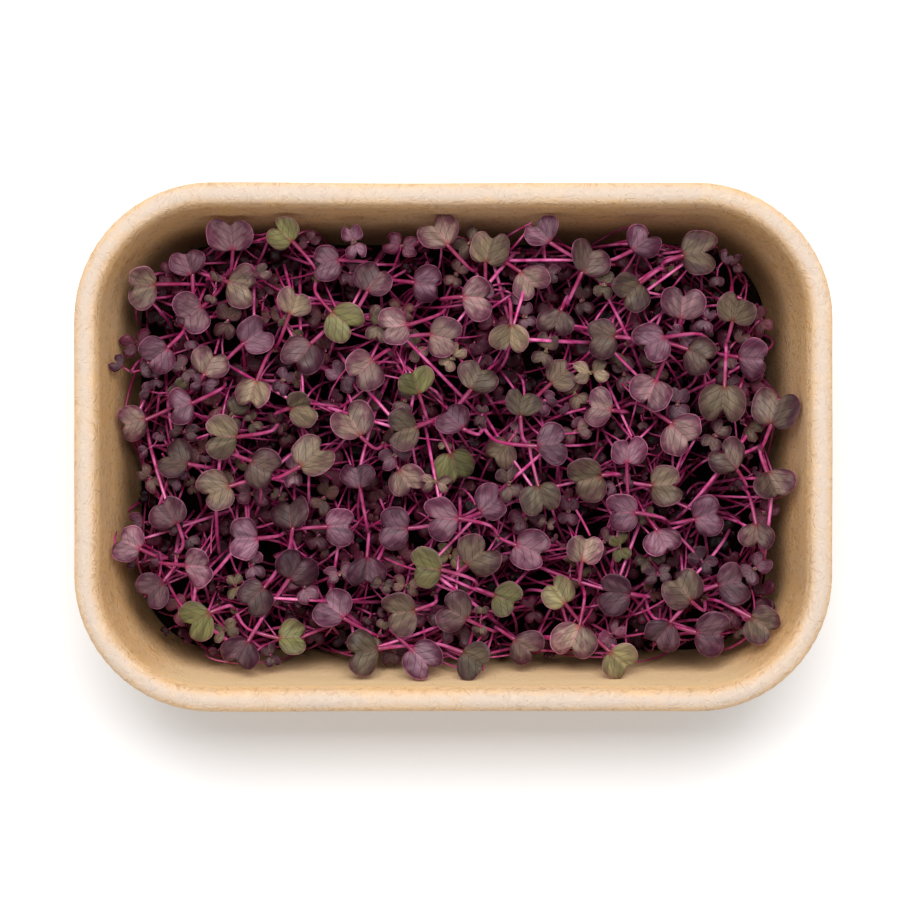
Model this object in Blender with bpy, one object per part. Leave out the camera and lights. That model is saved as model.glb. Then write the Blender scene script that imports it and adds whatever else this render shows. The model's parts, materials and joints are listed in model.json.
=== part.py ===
"""A kraft tray of red microgreens: the tray, the growing medium and tufts of seedlings.

Metres, +Z up, origin at the bottom centre of the tray, +X along its long side.
"""

import math
import random

import bmesh
import bpy
from mathutils import Matrix, Vector
from mathutils.bvhtree import BVHTree

# Tray, driving dimensions
TRAY_LENGTH = 0.172
TRAY_WIDTH = 0.120
TRAY_HEIGHT = 0.050
RIM_CORNER_RADIUS = 0.031
RIM_ROLL_RADIUS = 0.0026
WALL_THICKNESS = 0.0012
WALL_TOP_INSET = 0.0039
WALL_FOOT_INSET = 0.0129
WALL_FOOT_HEIGHT = 0.0016
FOOT_RING_OUTER_INSET = 0.0150
FOOT_RING_INNER_INSET = 0.0213
PANEL_INSET = 0.0225
PANEL_RISE = 0.0010
INNER_WALL_TOP = 0.0456
INNER_WALL_FOOT = 0.0050
SMOOTH_ANGLE = 35
CORNER_STEPS = 6
RIM_ANGLES = (-30, 0, 45, 90, 135, 180, 225, 270)

# Tray, small roundings: the heel under the wall, the inner heel as (inset past the foot ring, height),
# and where the floor's flats end
HEEL_INSET = 0.0007
HEEL_HEIGHT = 0.0005
INNER_HEEL = ((-0.0009, 0.0030), (0.0004, 0.0017), (0.0018, WALL_THICKNESS))
FLOOR_END = 0.0004
INNER_PANEL_END = 0.0002

# Growing medium
MEDIUM_BOTTOM = 0.0025
MEDIUM_TOP = 0.0140
MEDIUM_GAP = 0.00045
MEDIUM_FOOT_INSET = 0.0014
MEDIUM_FOOT_LEVELS = (0.0036, 0.0052)
MEDIUM_CHAMFER = 0.0009
MEDIUM_CHAMFER_DROP = 0.0008
PLUG_RADIUS = 0.0029
PLUG_BOTTOM = 0.0085
PLUG_TOP = 0.0146
PLUG_TAPER = 0.0003
PLUG_SIDES = 5
HOLE_GAP = 0.00045
CUTTER_RISE = 0.002

# Leaves of the canopy, two to a tuft
TUFTS = 54
TUFTS_PER_BAND = 6
LEAF_WIDTH = 0.0104
LEAF_SIZES = (0.84, 1.08)
LEAF_NOTCH = 0.47
LEAF_MIDDLE = 0.33
LEAF_THICKNESS = 0.0006
LEAF_TURN = 0.5
LEAF_PITCH = (-0.30, 0.38)
LEAF_ROLL = 0.32
LEAF_CUP = (-0.05, 0.11)
LEAF_EDGE_INSET = 0.0052
LEAF_SPACING = 0.0122
LEAF_CANDIDATES = 24
EDGE_PULL = 1.2
CANOPY_HEIGHT = 0.0405
CANOPY_DROP = 0.0035
CANOPY_SPREAD = 0.0032
DOME_LIMIT = 1.2

# Pairs of leaves, and the node where their two stalks meet
PAIR_REACH = 0.0200
KNEE_SHARE = 0.45
KNEE_PULL = 0.35
NODE_SHARES = (0.3, 0.7)
NODE_SPREAD = 0.0035
NODE_DROP = (0.0035, 0.0110)
PLUG_PULL = 0.4
PLUG_SPACING = 0.0098
PLUG_SHARE = 0.92
PLUG_EDGE_GAP = 0.0022

# One lobe of each outline, as shares of the leaf's width: across and along the rib
LARGE_LOBE = ((0.30, 0.02), (0.50, 0.33), (0.29, 0.65))
SMALL_LOBE = ((0.43, 0.12), (0.36, 0.62))

# Stems
STEM_RADIUS = 0.00056
STEM_TAPER = 0.85
STEM_BEND = 0.55
PETIOLE_RADIUS = 0.00046
YOUNG_STEM_RADIUS = 0.00038
YOUNG_STALK = 0.00035
STEM_SIDES = 3
STEEP_SHARE = 0.7
STEM_SINK = 0.00030
ROOT_DEPTH = 0.0022
ROOT_SPREAD = 0.0011

# Young seedlings under the canopy, four small lobes in a cross
YOUNG_LEAF_WIDTH = 0.0052
YOUNG_SIZES = (0.8, 1.15)
YOUNG_TURN = 0.25
YOUNG_PITCH = (0.0, 0.30)
YOUNG_ROLL = 0.15
YOUNG_CUP = (0.0, 0.10)
YOUNG_REACH = 0.0140
YOUNG_DROP = 0.0080
YOUNG_CHOICES = 4
YOUNG_PER_TUFT = 2
YOUNG_EDGE_GAP = 0.0035

# Planting rule: what a seedling that finds no room changes at each new try
SEED = 22
CLEARANCE = 0.00022
HEADROOM = 0.001
MOST_TRIES = 400
TRY_SPREAD = 1 / 60
TRY_SHIFT = 0.00002
TRY_SHRINK = 0.0016
SPREAD_ROUNDS = 30
PUSH_SHARE = 0.25

# Colours, and chances of a green tuft and of an olive or green one, at the wall and added by the middle
KRAFT_COLOUR = (0.72, 0.50, 0.32)
COIR_COLOUR = (0.035, 0.022, 0.015)
GREEN_COLOUR = (0.11, 0.13, 0.045)
OLIVE_COLOUR = (0.15, 0.125, 0.095)
PURPLE_COLOUR = (0.17, 0.085, 0.125)
KRAFT_ROUGHNESS = 0.85
COIR_ROUGHNESS = 0.95
LEAF_ROUGHNESS = 0.55
GREEN_CHANCE = (0.05, 0.22)
OLIVE_CHANCE = (0.20, 0.60)


# Rounded rectangles of the tray


def rounded_outline(inset, height):
    """The points of the tray's outline, moved in by an inset, at a height."""
    half_x = TRAY_LENGTH / 2 - inset
    half_y = TRAY_WIDTH / 2 - inset
    radius = RIM_CORNER_RADIUS - inset
    points = []
    for quarter, (side_x, side_y) in enumerate(((1, 1), (-1, 1), (-1, -1), (1, -1))):
        centre = Vector((side_x * (half_x - radius), side_y * (half_y - radius), height))
        for step in range(CORNER_STEPS + 1):
            angle = (quarter + step / CORNER_STEPS) * math.pi / 2
            points.append(centre + radius * Vector((math.cos(angle), math.sin(angle), 0)))
    return points


def inset_of(point):
    """How far a point stands in from the rim's outer edge, seen from above."""
    over_x = abs(point.x) - (TRAY_LENGTH / 2 - RIM_CORNER_RADIUS)
    over_y = abs(point.y) - (TRAY_WIDTH / 2 - RIM_CORNER_RADIUS)
    if over_x > 0 and over_y > 0:
        return RIM_CORNER_RADIUS - math.hypot(over_x, over_y)
    return RIM_CORNER_RADIUS - max(over_x, over_y)


def wall_inset(height):
    """How far the tray's inner wall stands in from the rim's outer edge, at a height."""
    top = TRAY_HEIGHT - 2 * RIM_ROLL_RADIUS
    share = (height - WALL_FOOT_HEIGHT) / (top - WALL_FOOT_HEIGHT)
    return WALL_FOOT_INSET + share * (WALL_TOP_INSET - WALL_FOOT_INSET) + WALL_THICKNESS


def pulled_in(point, least_inset):
    """The point, moved straight in from the nearest edge or corner to an inset."""
    missing = least_inset - inset_of(point)
    if missing <= 0:
        return point
    over = Vector((abs(point.x) - TRAY_LENGTH / 2, abs(point.y) - TRAY_WIDTH / 2, 0))
    over += Vector((RIM_CORNER_RADIUS, RIM_CORNER_RADIUS, 0))
    if over.x > 0 and over.y > 0:
        way = over.normalized()
    elif over.x > over.y:
        way = Vector((1, 0, 0))
    else:
        way = Vector((0, 1, 0))
    way.x = math.copysign(way.x, point.x)
    way.y = math.copysign(way.y, point.y)
    return point - way * missing


# Meshes as (points, faces), joined before they become objects


def joined(pieces):
    """One list of points and one of faces from several meshes."""
    points = []
    faces = []
    for piece_points, piece_faces in pieces:
        start = len(points)
        points += piece_points
        faces += [[start + corner for corner in face] for face in piece_faces]
    return points, faces


def lofted(rings):
    """A closed solid through rings of points, with its first and last ring filled."""
    count = len(rings[0])
    points = [point for ring in rings for point in ring]
    faces = [list(range(count))[::-1]]
    for level in range(len(rings) - 1):
        start = level * count
        for corner in range(count):
            following = (corner + 1) % count
            face = [corner, following, count + following, count + corner]
            faces.append([start + point for point in face])
    last = len(points) - count
    faces.append(list(range(last, last + count)))
    return points, faces


def tube(path, first_radius, last_radius, sides):
    """A tapering stem with flat ends along a path."""
    run = path[-1] - path[0]
    reference = Vector((0, 0, 1))
    if abs(run.z) > STEEP_SHARE * run.length:
        reference = Vector((1, 0, 0))
    rings = []
    for index, point in enumerate(path):
        before = path[max(index - 1, 0)]
        after = path[min(index + 1, len(path) - 1)]
        along = (after - before).normalized()
        across = reference.cross(along).normalized()
        upward = along.cross(across)
        radius = first_radius + (last_radius - first_radius) * index / (len(path) - 1)
        ring = []
        for side in range(sides):
            angle = 2 * math.pi * side / sides
            ring.append(point + radius * (math.cos(angle) * across + math.sin(angle) * upward))
        rings.append(ring)
    return lofted(rings)


def bent(start, middle, end, steps):
    """Points along a curve that leaves start towards middle and comes to end from it."""
    points = []
    for step in range(steps + 1):
        share = step / steps
        first = start.lerp(middle, share)
        second = middle.lerp(end, share)
        points.append(first.lerp(second, share))
    return points


def blade(leaf, lobe, extra):
    """A leaf of two lobes, open along its base edge: its points, its faces and that edge."""
    width = leaf["width"] + 2 * extra
    half_base = leaf["stalk"] + extra
    half_thickness = LEAF_THICKNESS / 2 + extra
    outline = [(across * width, along * width) for across, along in lobe]
    outline += [(0.0, LEAF_NOTCH * width)]
    outline += [(-across * width, along * width) for across, along in reversed(lobe)]
    outline = [(half_base, 0.0)] + outline + [(-half_base, 0.0)]
    count = len(outline)
    notch = len(lobe) + 1
    points = []
    for side in (half_thickness, -half_thickness):
        for across, along in outline:
            rise = leaf["cup"] * (2 * across / width) ** 2 * width
            points.append(leaf["place"] @ Vector((across, along, rise + side)))
    top = [[0, corner, corner + 1] for corner in range(1, notch)]
    top += [[0, notch, count - 1]]
    top += [[count - 1, corner, corner + 1] for corner in range(notch, count - 2)]
    faces = list(top)
    faces += [[count + corner for corner in reversed(face)] for face in top]
    for corner in range(count - 1):
        following = corner + 1
        faces.append([corner, count + corner, count + following])
        faces.append([corner, count + following, following])
    return points, faces, [0, count, 2 * count - 1, count - 1]


def leaf_strap(leaves, stalk_path, lobe, extra):
    """Two leaves and the stalk between them as one closed solid."""
    points, faces, edge = blade(leaves[0], lobe, extra)
    last_points, last_faces, last_edge = blade(leaves[1], lobe, extra)
    last_edge = [len(points) + corner for corner in last_edge]
    points, faces = joined([(points, faces), (last_points, last_faces)])
    rings = [[edge[3], edge[2], edge[1], edge[0]]]
    for index in range(1, len(stalk_path) - 1):
        along = (stalk_path[index + 1] - stalk_path[index - 1]).normalized()
        right = along.cross(Vector((0, 0, 1))).normalized() * (PETIOLE_RADIUS + extra)
        upward = right.cross(along)
        ring = []
        for corner in (right + upward, right - upward, -right - upward, -right + upward):
            ring.append(len(points))
            points.append(stalk_path[index] + corner)
        rings.append(ring)
    rings.append(last_edge)
    for ring, next_ring in zip(rings, rings[1:]):
        for corner in range(4):
            following = (corner + 1) % 4
            face = [ring[corner], ring[following], next_ring[following], next_ring[corner]]
            faces.append(face)
    return points, faces


# Seedlings


def leaf_place(centre, heading, pitch, roll, width):
    """The leaf's own frame: its base at the origin and its rib along +Y."""
    turn = Matrix.Rotation(heading - math.pi / 2, 4, "Z")
    lean = Matrix.Rotation(pitch, 4, "X") @ Matrix.Rotation(roll, 4, "Y")
    middle = Matrix.Translation(Vector((0, -LEAF_MIDDLE * width, 0)))
    return Matrix.Translation(centre) @ turn @ lean @ middle


def grown_seedling(draw, root, node, centres, width):
    """A seedling with two leaves on stalks: its stem, the stalks' path and the leaves."""
    leaves = []
    for centre in centres:
        away = centre - node
        heading = math.atan2(away.y, away.x) + draw.uniform(-LEAF_TURN, LEAF_TURN)
        size = width * draw.uniform(*LEAF_SIZES)
        pitch = draw.uniform(*LEAF_PITCH)
        place = leaf_place(centre, heading, pitch, draw.uniform(-LEAF_ROLL, LEAF_ROLL), size)
        cup = draw.uniform(*LEAF_CUP)
        leaves.append({"place": place, "width": size, "cup": cup, "stalk": PETIOLE_RADIUS})
    first, last = [leaf["place"].translation for leaf in leaves]
    knees = []
    for leaf in leaves:
        base = leaf["place"].translation
        along_rib = Vector((0, KNEE_SHARE * (node - base).length, 0))
        knees.append((base - leaf["place"].to_3x3() @ along_rib).lerp(node, KNEE_PULL))
    upright = Vector((root.x, root.y, root.z + STEM_BEND * (node.z - root.z)))
    stalk_path = [first, knees[0], node, knees[1], last]
    top = node + (node - upright).normalized() * STEM_SINK
    return {"stem": bent(root, upright, top, 3), "stalk": stalk_path, "leaves": leaves, "grown": True}


def young_seedling(draw, root, node, width):
    """A young seedling whose two small leaves sit right on the stem, as a cross of four lobes."""
    turn = draw.uniform(0, math.pi)
    leaves = []
    for side in range(2):
        heading = turn + side * math.pi + draw.uniform(-YOUNG_TURN, YOUNG_TURN)
        way = Vector((math.cos(heading), math.sin(heading), 0))
        centre = node + way * (LEAF_MIDDLE * width + YOUNG_STALK)
        pitch = draw.uniform(*YOUNG_PITCH)
        place = leaf_place(centre, heading, pitch, draw.uniform(-YOUNG_ROLL, YOUNG_ROLL), width)
        cup = draw.uniform(*YOUNG_CUP)
        leaves.append({"place": place, "width": width, "cup": cup, "stalk": YOUNG_STEM_RADIUS})
    stalk_path = [leaf["place"].translation for leaf in leaves]
    upright = Vector((root.x, root.y, root.z + STEM_BEND * (node.z - root.z)))
    top = stalk_path[0].lerp(stalk_path[1], 0.5)
    return {"stem": bent(root, upright, top, 2), "stalk": stalk_path, "leaves": leaves, "grown": False}


def seedling_pieces(seedling, extra):
    """The seedling's two solids, stem and leaves, each a little larger where extra is over 0."""
    if seedling["grown"]:
        radius, lobe = STEM_RADIUS, LARGE_LOBE
    else:
        radius, lobe = YOUNG_STEM_RADIUS, SMALL_LOBE
    stem = tube(seedling["stem"], radius + extra, STEM_TAPER * radius + extra, STEM_SIDES)
    return [stem, leaf_strap(seedling["leaves"], seedling["stalk"], lobe, extra)]


class Field:
    """What has been planted so far, for keeping each new seedling clear of it."""

    def __init__(self):
        self.planted = []

    def is_clear(self, seedling):
        points, faces = joined(seedling_pieces(seedling, CLEARANCE))
        for point in points:
            least_inset = wall_inset(point.z) + CLEARANCE
            if point.z > TRAY_HEIGHT - HEADROOM or inset_of(point) < least_inset:
                return False
        low = Vector(min(point[axis] for point in points) for axis in range(3))
        high = Vector(max(point[axis] for point in points) for axis in range(3))
        shape = BVHTree.FromPolygons(points, faces)
        for other_low, other_high, other in self.planted:
            below = any(high[axis] < other_low[axis] for axis in range(3))
            above = any(low[axis] > other_high[axis] for axis in range(3))
            if not below and not above and shape.overlap(other):
                return False
        self.planted.append((low, high, shape))
        return True


# Planting rule: leaves spread over the tray and paired into seedlings, each pair on a tuft's plug


def canopy_height(point):
    """The height of the canopy over a place: a low dome, lowest at the wall."""
    out = (2 * point.x / TRAY_LENGTH) ** 2 + (2 * point.y / TRAY_WIDTH) ** 2
    return CANOPY_HEIGHT - CANOPY_DROP * min(out, DOME_LIMIT)


def spread_apart(places, spacing, least_inset):
    """The places, pushed apart wherever two are closer than the spacing, and kept off the wall."""
    places = [place.copy() for place in places]
    for _ in range(SPREAD_ROUNDS):
        for first in range(len(places)):
            for second in range(first):
                away = places[first] - places[second]
                missing = spacing - away.length
                if missing > 0:
                    push = away.normalized() * missing * PUSH_SHARE
                    places[first] += push
                    places[second] -= push
        places = [pulled_in(place, least_inset) for place in places]
    return places


def anywhere(draw):
    """A place drawn evenly over the tray."""
    half_x = TRAY_LENGTH / 2
    half_y = TRAY_WIDTH / 2
    return Vector((draw.uniform(-half_x, half_x), draw.uniform(-half_y, half_y), 0))


def leaf_centres():
    """Centres of the canopy's leaves: each is the candidate that stands furthest from the others."""
    draw = random.Random(SEED)
    least_inset = wall_inset(CANOPY_HEIGHT) + LEAF_EDGE_INSET
    centres = []
    while len(centres) < 2 * TUFTS:
        best = None
        best_gap = 0.0
        for _ in range(LEAF_CANDIDATES):
            place = anywhere(draw)
            off_edge = inset_of(place) - least_inset
            gaps = [(place - other).length for other in centres]
            gap = min(gaps + [LEAF_SPACING / 2 + EDGE_PULL * off_edge])
            if off_edge > 0 and gap > best_gap:
                best = place
                best_gap = gap
        if best:
            centres.append(best)
    return spread_apart(centres, LEAF_SPACING, least_inset)


def pair_cost(pair):
    """How far two leaves are from being a seedling's reach apart."""
    return ((pair[0] - pair[1]).length - PAIR_REACH) ** 2


def leaf_pairs():
    """The leaf centres in pairs, swapping partners for as long as that suits a seedling's reach."""
    centres = sorted(leaf_centres(), key=lambda place: place.x)
    pairs = list(zip(centres[::2], centres[1::2]))
    improved = True
    while improved:
        improved = False
        for first in range(len(pairs)):
            for second in range(first):
                one, two = pairs[first]
                three, four = pairs[second]
                cost = pair_cost(pairs[first]) + pair_cost(pairs[second])
                for swapped in (((one, three), (two, four)), ((one, four), (two, three))):
                    new_cost = pair_cost(swapped[0]) + pair_cost(swapped[1])
                    if new_cost < cost and not math.isclose(new_cost, cost):
                        pairs[first], pairs[second] = swapped
                        cost = new_cost
                        improved = True
    return pairs


def plug_places(pairs):
    """A plug for each pair, under its middle and a little towards the tray's middle."""
    least_inset = wall_inset(MEDIUM_TOP) + MEDIUM_GAP + PLUG_RADIUS + PLUG_EDGE_GAP
    middles = [PLUG_SHARE * (one + two) / 2 for one, two in pairs]
    return spread_apart(middles, PLUG_SPACING, least_inset)


def planted_places():
    """Every (plug, leaf pair), in bands across the tray's width and from left to right in each."""
    pairs = leaf_pairs()
    places = sorted(zip(plug_places(pairs), pairs), key=lambda place: place[0].y)
    in_order = []
    for start in range(0, TUFTS, TUFTS_PER_BAND):
        band = places[start : start + TUFTS_PER_BAND]
        in_order += sorted(band, key=lambda place: place[0].x)
    return in_order


def any_way(draw):
    """A level direction drawn evenly."""
    angle = draw.uniform(0, 2 * math.pi)
    return Vector((math.cos(angle), math.sin(angle), 0))


def root_on(plug, draw):
    """Where a seedling's stem starts, sunk in a plug's top."""
    return plug + any_way(draw) * ROOT_SPREAD + Vector((0, 0, PLUG_TOP - ROOT_DEPTH))


def planted_grown(field, draw, plug, pair):
    """The tuft's grown seedling, drawn again until it stands clear of the others."""
    root = root_on(plug, draw)
    for attempt in range(MOST_TRIES):
        spread = CANOPY_SPREAD * (1 + TRY_SPREAD * attempt)
        centres = []
        for place in pair:
            height = canopy_height(place) + draw.uniform(-spread, spread)
            moved = any_way(draw) * TRY_SHIFT * attempt
            centres.append(Vector((place.x, place.y, height)) + moved)
        node = centres[0].lerp(centres[1], draw.uniform(*NODE_SHARES))
        node += any_way(draw) * NODE_SPREAD * draw.random()
        node = node.lerp(Vector((plug.x, plug.y, node.z)), PLUG_PULL * draw.random())
        node.z = min(centre.z for centre in centres) - draw.uniform(*NODE_DROP)
        width = LEAF_WIDTH * (1 - TRY_SHRINK * attempt)
        seedling = grown_seedling(draw, root, node, centres, width)
        if field.is_clear(seedling):
            return seedling
    raise RuntimeError("no clear place for a grown seedling")


def gap_between(leaves, plug, draw):
    """The widest of a few drawn places among the leaves, within a young seedling's reach of its plug."""
    lowest = CANOPY_HEIGHT - YOUNG_PER_TUFT * YOUNG_DROP
    best = None
    best_gap = 0.0
    for _ in range(YOUNG_CHOICES):
        place = plug + any_way(draw) * YOUNG_REACH * math.sqrt(draw.random())
        place = pulled_in(place, wall_inset(lowest) + YOUNG_EDGE_GAP)
        gap = min((place - leaf).length for leaf in leaves)
        if gap > best_gap:
            best = place
            best_gap = gap
    return best


def planted_young(field, draw, plug, leaves, least_drop):
    """A young seedling of the tuft, or None where the tuft has no room for it."""
    for attempt in range(MOST_TRIES):
        root = root_on(plug, draw)
        node = gap_between(leaves, plug, draw)
        node.z = canopy_height(node) - least_drop - draw.uniform(0.0, YOUNG_DROP)
        seedling = young_seedling(draw, root, node, YOUNG_LEAF_WIDTH * draw.uniform(*YOUNG_SIZES))
        if field.is_clear(seedling):
            return seedling
    return None


def planted_tufts():
    """Every tuft as (plug place, seedlings): the grown ones first, then the young ones in the gaps."""
    field = Field()
    tufts = []
    leaves = []
    for index, (plug, pair) in enumerate(planted_places()):
        draw = random.Random(SEED * 1000 + index)
        tufts.append((plug, [planted_grown(field, draw, plug, pair)]))
        leaves += [Vector((leaf.x, leaf.y, 0)) for leaf in pair]
    for turn in range(YOUNG_PER_TUFT):
        for index, (plug, seedlings) in enumerate(tufts):
            draw = random.Random(SEED * 2000 + 100 * turn + index)
            young = planted_young(field, draw, plug, leaves, turn * YOUNG_DROP)
            if young:
                seedlings.append(young)
                leaves.append(Vector((*young["stem"][-1].xy, 0)))
    return tufts


# Blender objects


def clear_scene():
    for thing in list(bpy.data.objects):
        bpy.data.objects.remove(thing, do_unlink=True)


def principled(name, colour, roughness):
    """A plain material with the part's colour."""
    material = bpy.data.materials.new(name)
    material.use_nodes = True
    shader = material.node_tree.nodes["Principled BSDF"]
    shader.inputs["Base Color"].default_value = (*colour, 1.0)
    shader.inputs["Roughness"].default_value = roughness
    shader.inputs["Metallic"].default_value = 0.0
    return material


def add_object(name, mesh_data):
    """An object in the scene from points and faces."""
    points, faces = mesh_data
    mesh = bpy.data.meshes.new(name)
    mesh.from_pydata([tuple(point) for point in points], [], faces)
    thing = bpy.data.objects.new(name, mesh)
    bpy.context.scene.collection.objects.link(thing)
    return thing


def largest_body(mesh):
    """The mesh without the loose scraps that a union can leave."""
    shape = bmesh.new()
    shape.from_mesh(mesh)
    unseen = set(shape.faces)
    bodies = []
    while unseen:
        reached = [unseen.pop()]
        for face in reached:
            for edge in face.edges:
                for other in edge.link_faces:
                    if other in unseen:
                        unseen.remove(other)
                        reached.append(other)
        bodies.append(reached)
    bodies.sort(key=len)
    for scrap in bodies[:-1]:
        bmesh.ops.delete(shape, geom=scrap, context="FACES")
    shape.to_mesh(mesh)
    shape.free()
    return mesh


def apply_boolean(thing, others, operation, solver="EXACT"):
    """Joins a collection of solids to an object or cuts them from it, and removes them."""
    group = bpy.data.collections.new(thing.name + "_solids")
    bpy.context.scene.collection.children.link(group)
    for other in others:
        bpy.context.scene.collection.objects.unlink(other)
        group.objects.link(other)
    step = thing.modifiers.new(operation.title(), "BOOLEAN")
    step.operation = operation
    step.operand_type = "COLLECTION"
    step.collection = group
    step.solver = solver
    bpy.context.view_layer.update()
    shape = thing.evaluated_get(bpy.context.evaluated_depsgraph_get())
    thing.data = largest_body(bpy.data.meshes.new_from_object(shape))
    thing.modifiers.clear()
    for other in others:
        bpy.data.objects.remove(other, do_unlink=True)
    bpy.data.collections.remove(group)


def rim_profile():
    """The rolled rim's section as (inset, height), from under its lip round to its inner edge."""
    centre = TRAY_HEIGHT - RIM_ROLL_RADIUS
    profile = []
    for degrees in RIM_ANGLES:
        angle = math.radians(degrees)
        inset = RIM_ROLL_RADIUS * (1 - math.sin(angle))
        profile.append((inset, centre - RIM_ROLL_RADIUS * math.cos(angle)))
    return profile


def make_tray():
    """A pressed kraft tray: tapered walls, a rolled rim and a foot ring round a raised panel."""
    profile = [
        (PANEL_INSET, PANEL_RISE),
        (FOOT_RING_INNER_INSET, 0.0),
        (FOOT_RING_OUTER_INSET, 0.0),
        (WALL_FOOT_INSET + HEEL_INSET, HEEL_HEIGHT),
        (WALL_FOOT_INSET, WALL_FOOT_HEIGHT),
    ]
    profile += rim_profile()
    profile += [
        (wall_inset(INNER_WALL_TOP), INNER_WALL_TOP),
        (wall_inset(INNER_WALL_FOOT), INNER_WALL_FOOT),
    ]
    profile += [(FOOT_RING_OUTER_INSET + past, height) for past, height in INNER_HEEL]
    profile += [
        (FOOT_RING_INNER_INSET - FLOOR_END, WALL_THICKNESS),
        (PANEL_INSET - INNER_PANEL_END, PANEL_RISE + WALL_THICKNESS),
    ]
    rings = [rounded_outline(inset, height) for inset, height in profile]
    tray = add_object("tray", lofted(rings))
    tray.data.materials.append(principled("Kraft fibre", KRAFT_COLOUR, KRAFT_ROUGHNESS))
    tray.data.shade_smooth()
    tray.data.set_sharp_from_angle(angle=math.radians(SMOOTH_ANGLE))
    return tray


def make_medium(plugs):
    """The block of growing medium, with a plain hole for each tuft's plug."""
    low, high = MEDIUM_FOOT_LEVELS
    shoulder = MEDIUM_TOP - MEDIUM_CHAMFER_DROP
    profile = [
        (FOOT_RING_OUTER_INSET + MEDIUM_FOOT_INSET, MEDIUM_BOTTOM),
        (wall_inset(low) + MEDIUM_CHAMFER, low),
        (wall_inset(high) + MEDIUM_GAP, high),
        (wall_inset(shoulder) + MEDIUM_GAP, shoulder),
        (wall_inset(MEDIUM_TOP) + MEDIUM_GAP + MEDIUM_CHAMFER, MEDIUM_TOP),
    ]
    rings = [rounded_outline(inset, height) for inset, height in profile]
    medium = add_object("growing_medium", lofted(rings))
    cutters = []
    for index, plug in enumerate(plugs):
        levels = (PLUG_BOTTOM - HOLE_GAP, MEDIUM_TOP + CUTTER_RISE)
        path = [Vector((plug.x, plug.y, level)) for level in levels]
        radius = PLUG_RADIUS + HOLE_GAP
        cutters.append(add_object(f"hole_{index}", tube(path, radius, radius, PLUG_SIDES)))
    apply_boolean(medium, cutters, "DIFFERENCE")
    medium.data.materials.clear()
    medium.data.materials.append(principled("Coir", COIR_COLOUR, COIR_ROUGHNESS))
    return medium


def make_tuft(name, plug, seedlings, material):
    """One tuft: its plug of roots and medium with the seedlings' stems sunk in it."""
    path = [Vector((plug.x, plug.y, level)) for level in (PLUG_BOTTOM, PLUG_TOP)]
    tuft = add_object(name, tube(path, PLUG_RADIUS, PLUG_RADIUS - PLUG_TAPER, PLUG_SIDES))
    solids = []
    for seedling in seedlings:
        for piece in seedling_pieces(seedling, 0.0):
            solids.append(add_object(name + "_solid", piece))
    apply_boolean(tuft, solids, "UNION", solver="MANIFOLD")
    tuft.data.materials.clear()
    tuft.data.materials.append(material)
    return tuft


def leaf_colour(plug, draw):
    """Mostly purple, with olive and green seedlings more often towards the middle."""
    middle = 1 - min(1, math.hypot(2 * plug.x / TRAY_LENGTH, 2 * plug.y / TRAY_WIDTH))
    luck = draw.random()
    if luck < GREEN_CHANCE[0] + GREEN_CHANCE[1] * middle:
        return GREEN_COLOUR
    if luck < OLIVE_CHANCE[0] + OLIVE_CHANCE[1] * middle:
        return OLIVE_COLOUR
    return PURPLE_COLOUR


def main():
    clear_scene()
    tufts = planted_tufts()
    make_tray()
    make_medium([plug for plug, _ in tufts])
    draw = random.Random(SEED + 3)
    for index, (plug, seedlings) in enumerate(tufts):
        name = f"tuft_{index + 1:02d}"
        material = principled(name + " leaves", leaf_colour(plug, draw), LEAF_ROUGHNESS)
        make_tuft(name, plug, seedlings, material)


main()
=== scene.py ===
"""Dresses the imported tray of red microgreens: kraft tray, coir bed, seedlings, undergrowth and a pale stage.

Metres, +Z up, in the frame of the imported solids. The planting rule is the one that the solids follow.
"""

import json
import math
import random
from itertools import product

import bmesh
import bpy
from bpy.props import FloatProperty, FloatVectorProperty, IntProperty, PointerProperty
from mathutils import Matrix, Vector, noise
from mathutils.bvhtree import BVHTree

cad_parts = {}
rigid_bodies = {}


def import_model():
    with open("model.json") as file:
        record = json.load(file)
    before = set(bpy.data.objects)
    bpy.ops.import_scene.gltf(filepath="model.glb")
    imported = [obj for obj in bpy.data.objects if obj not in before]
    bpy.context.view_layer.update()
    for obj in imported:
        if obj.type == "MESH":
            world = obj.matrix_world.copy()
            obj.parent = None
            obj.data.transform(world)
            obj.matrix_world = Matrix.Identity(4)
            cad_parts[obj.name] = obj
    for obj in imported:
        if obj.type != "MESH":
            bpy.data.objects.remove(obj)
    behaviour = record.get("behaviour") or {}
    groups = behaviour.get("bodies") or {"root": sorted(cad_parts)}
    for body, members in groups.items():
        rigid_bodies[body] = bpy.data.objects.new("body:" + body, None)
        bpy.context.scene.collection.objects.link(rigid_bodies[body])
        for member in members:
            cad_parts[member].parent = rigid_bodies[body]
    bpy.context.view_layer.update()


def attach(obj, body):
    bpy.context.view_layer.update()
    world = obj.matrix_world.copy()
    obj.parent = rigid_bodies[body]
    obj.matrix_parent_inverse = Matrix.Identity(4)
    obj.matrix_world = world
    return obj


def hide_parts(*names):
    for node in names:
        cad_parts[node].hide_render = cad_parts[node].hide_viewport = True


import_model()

bl_info = {
    "name": "Red microgreens tray",
    "version": (1, 0, 0),
    "blender": (4, 5, 0),
    "location": "3D View > Sidebar > Microgreens",
    "description": "Makes a kraft tray of red microgreens around its packed solids",
    "category": "Object",
}

BODY = "root"

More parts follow.
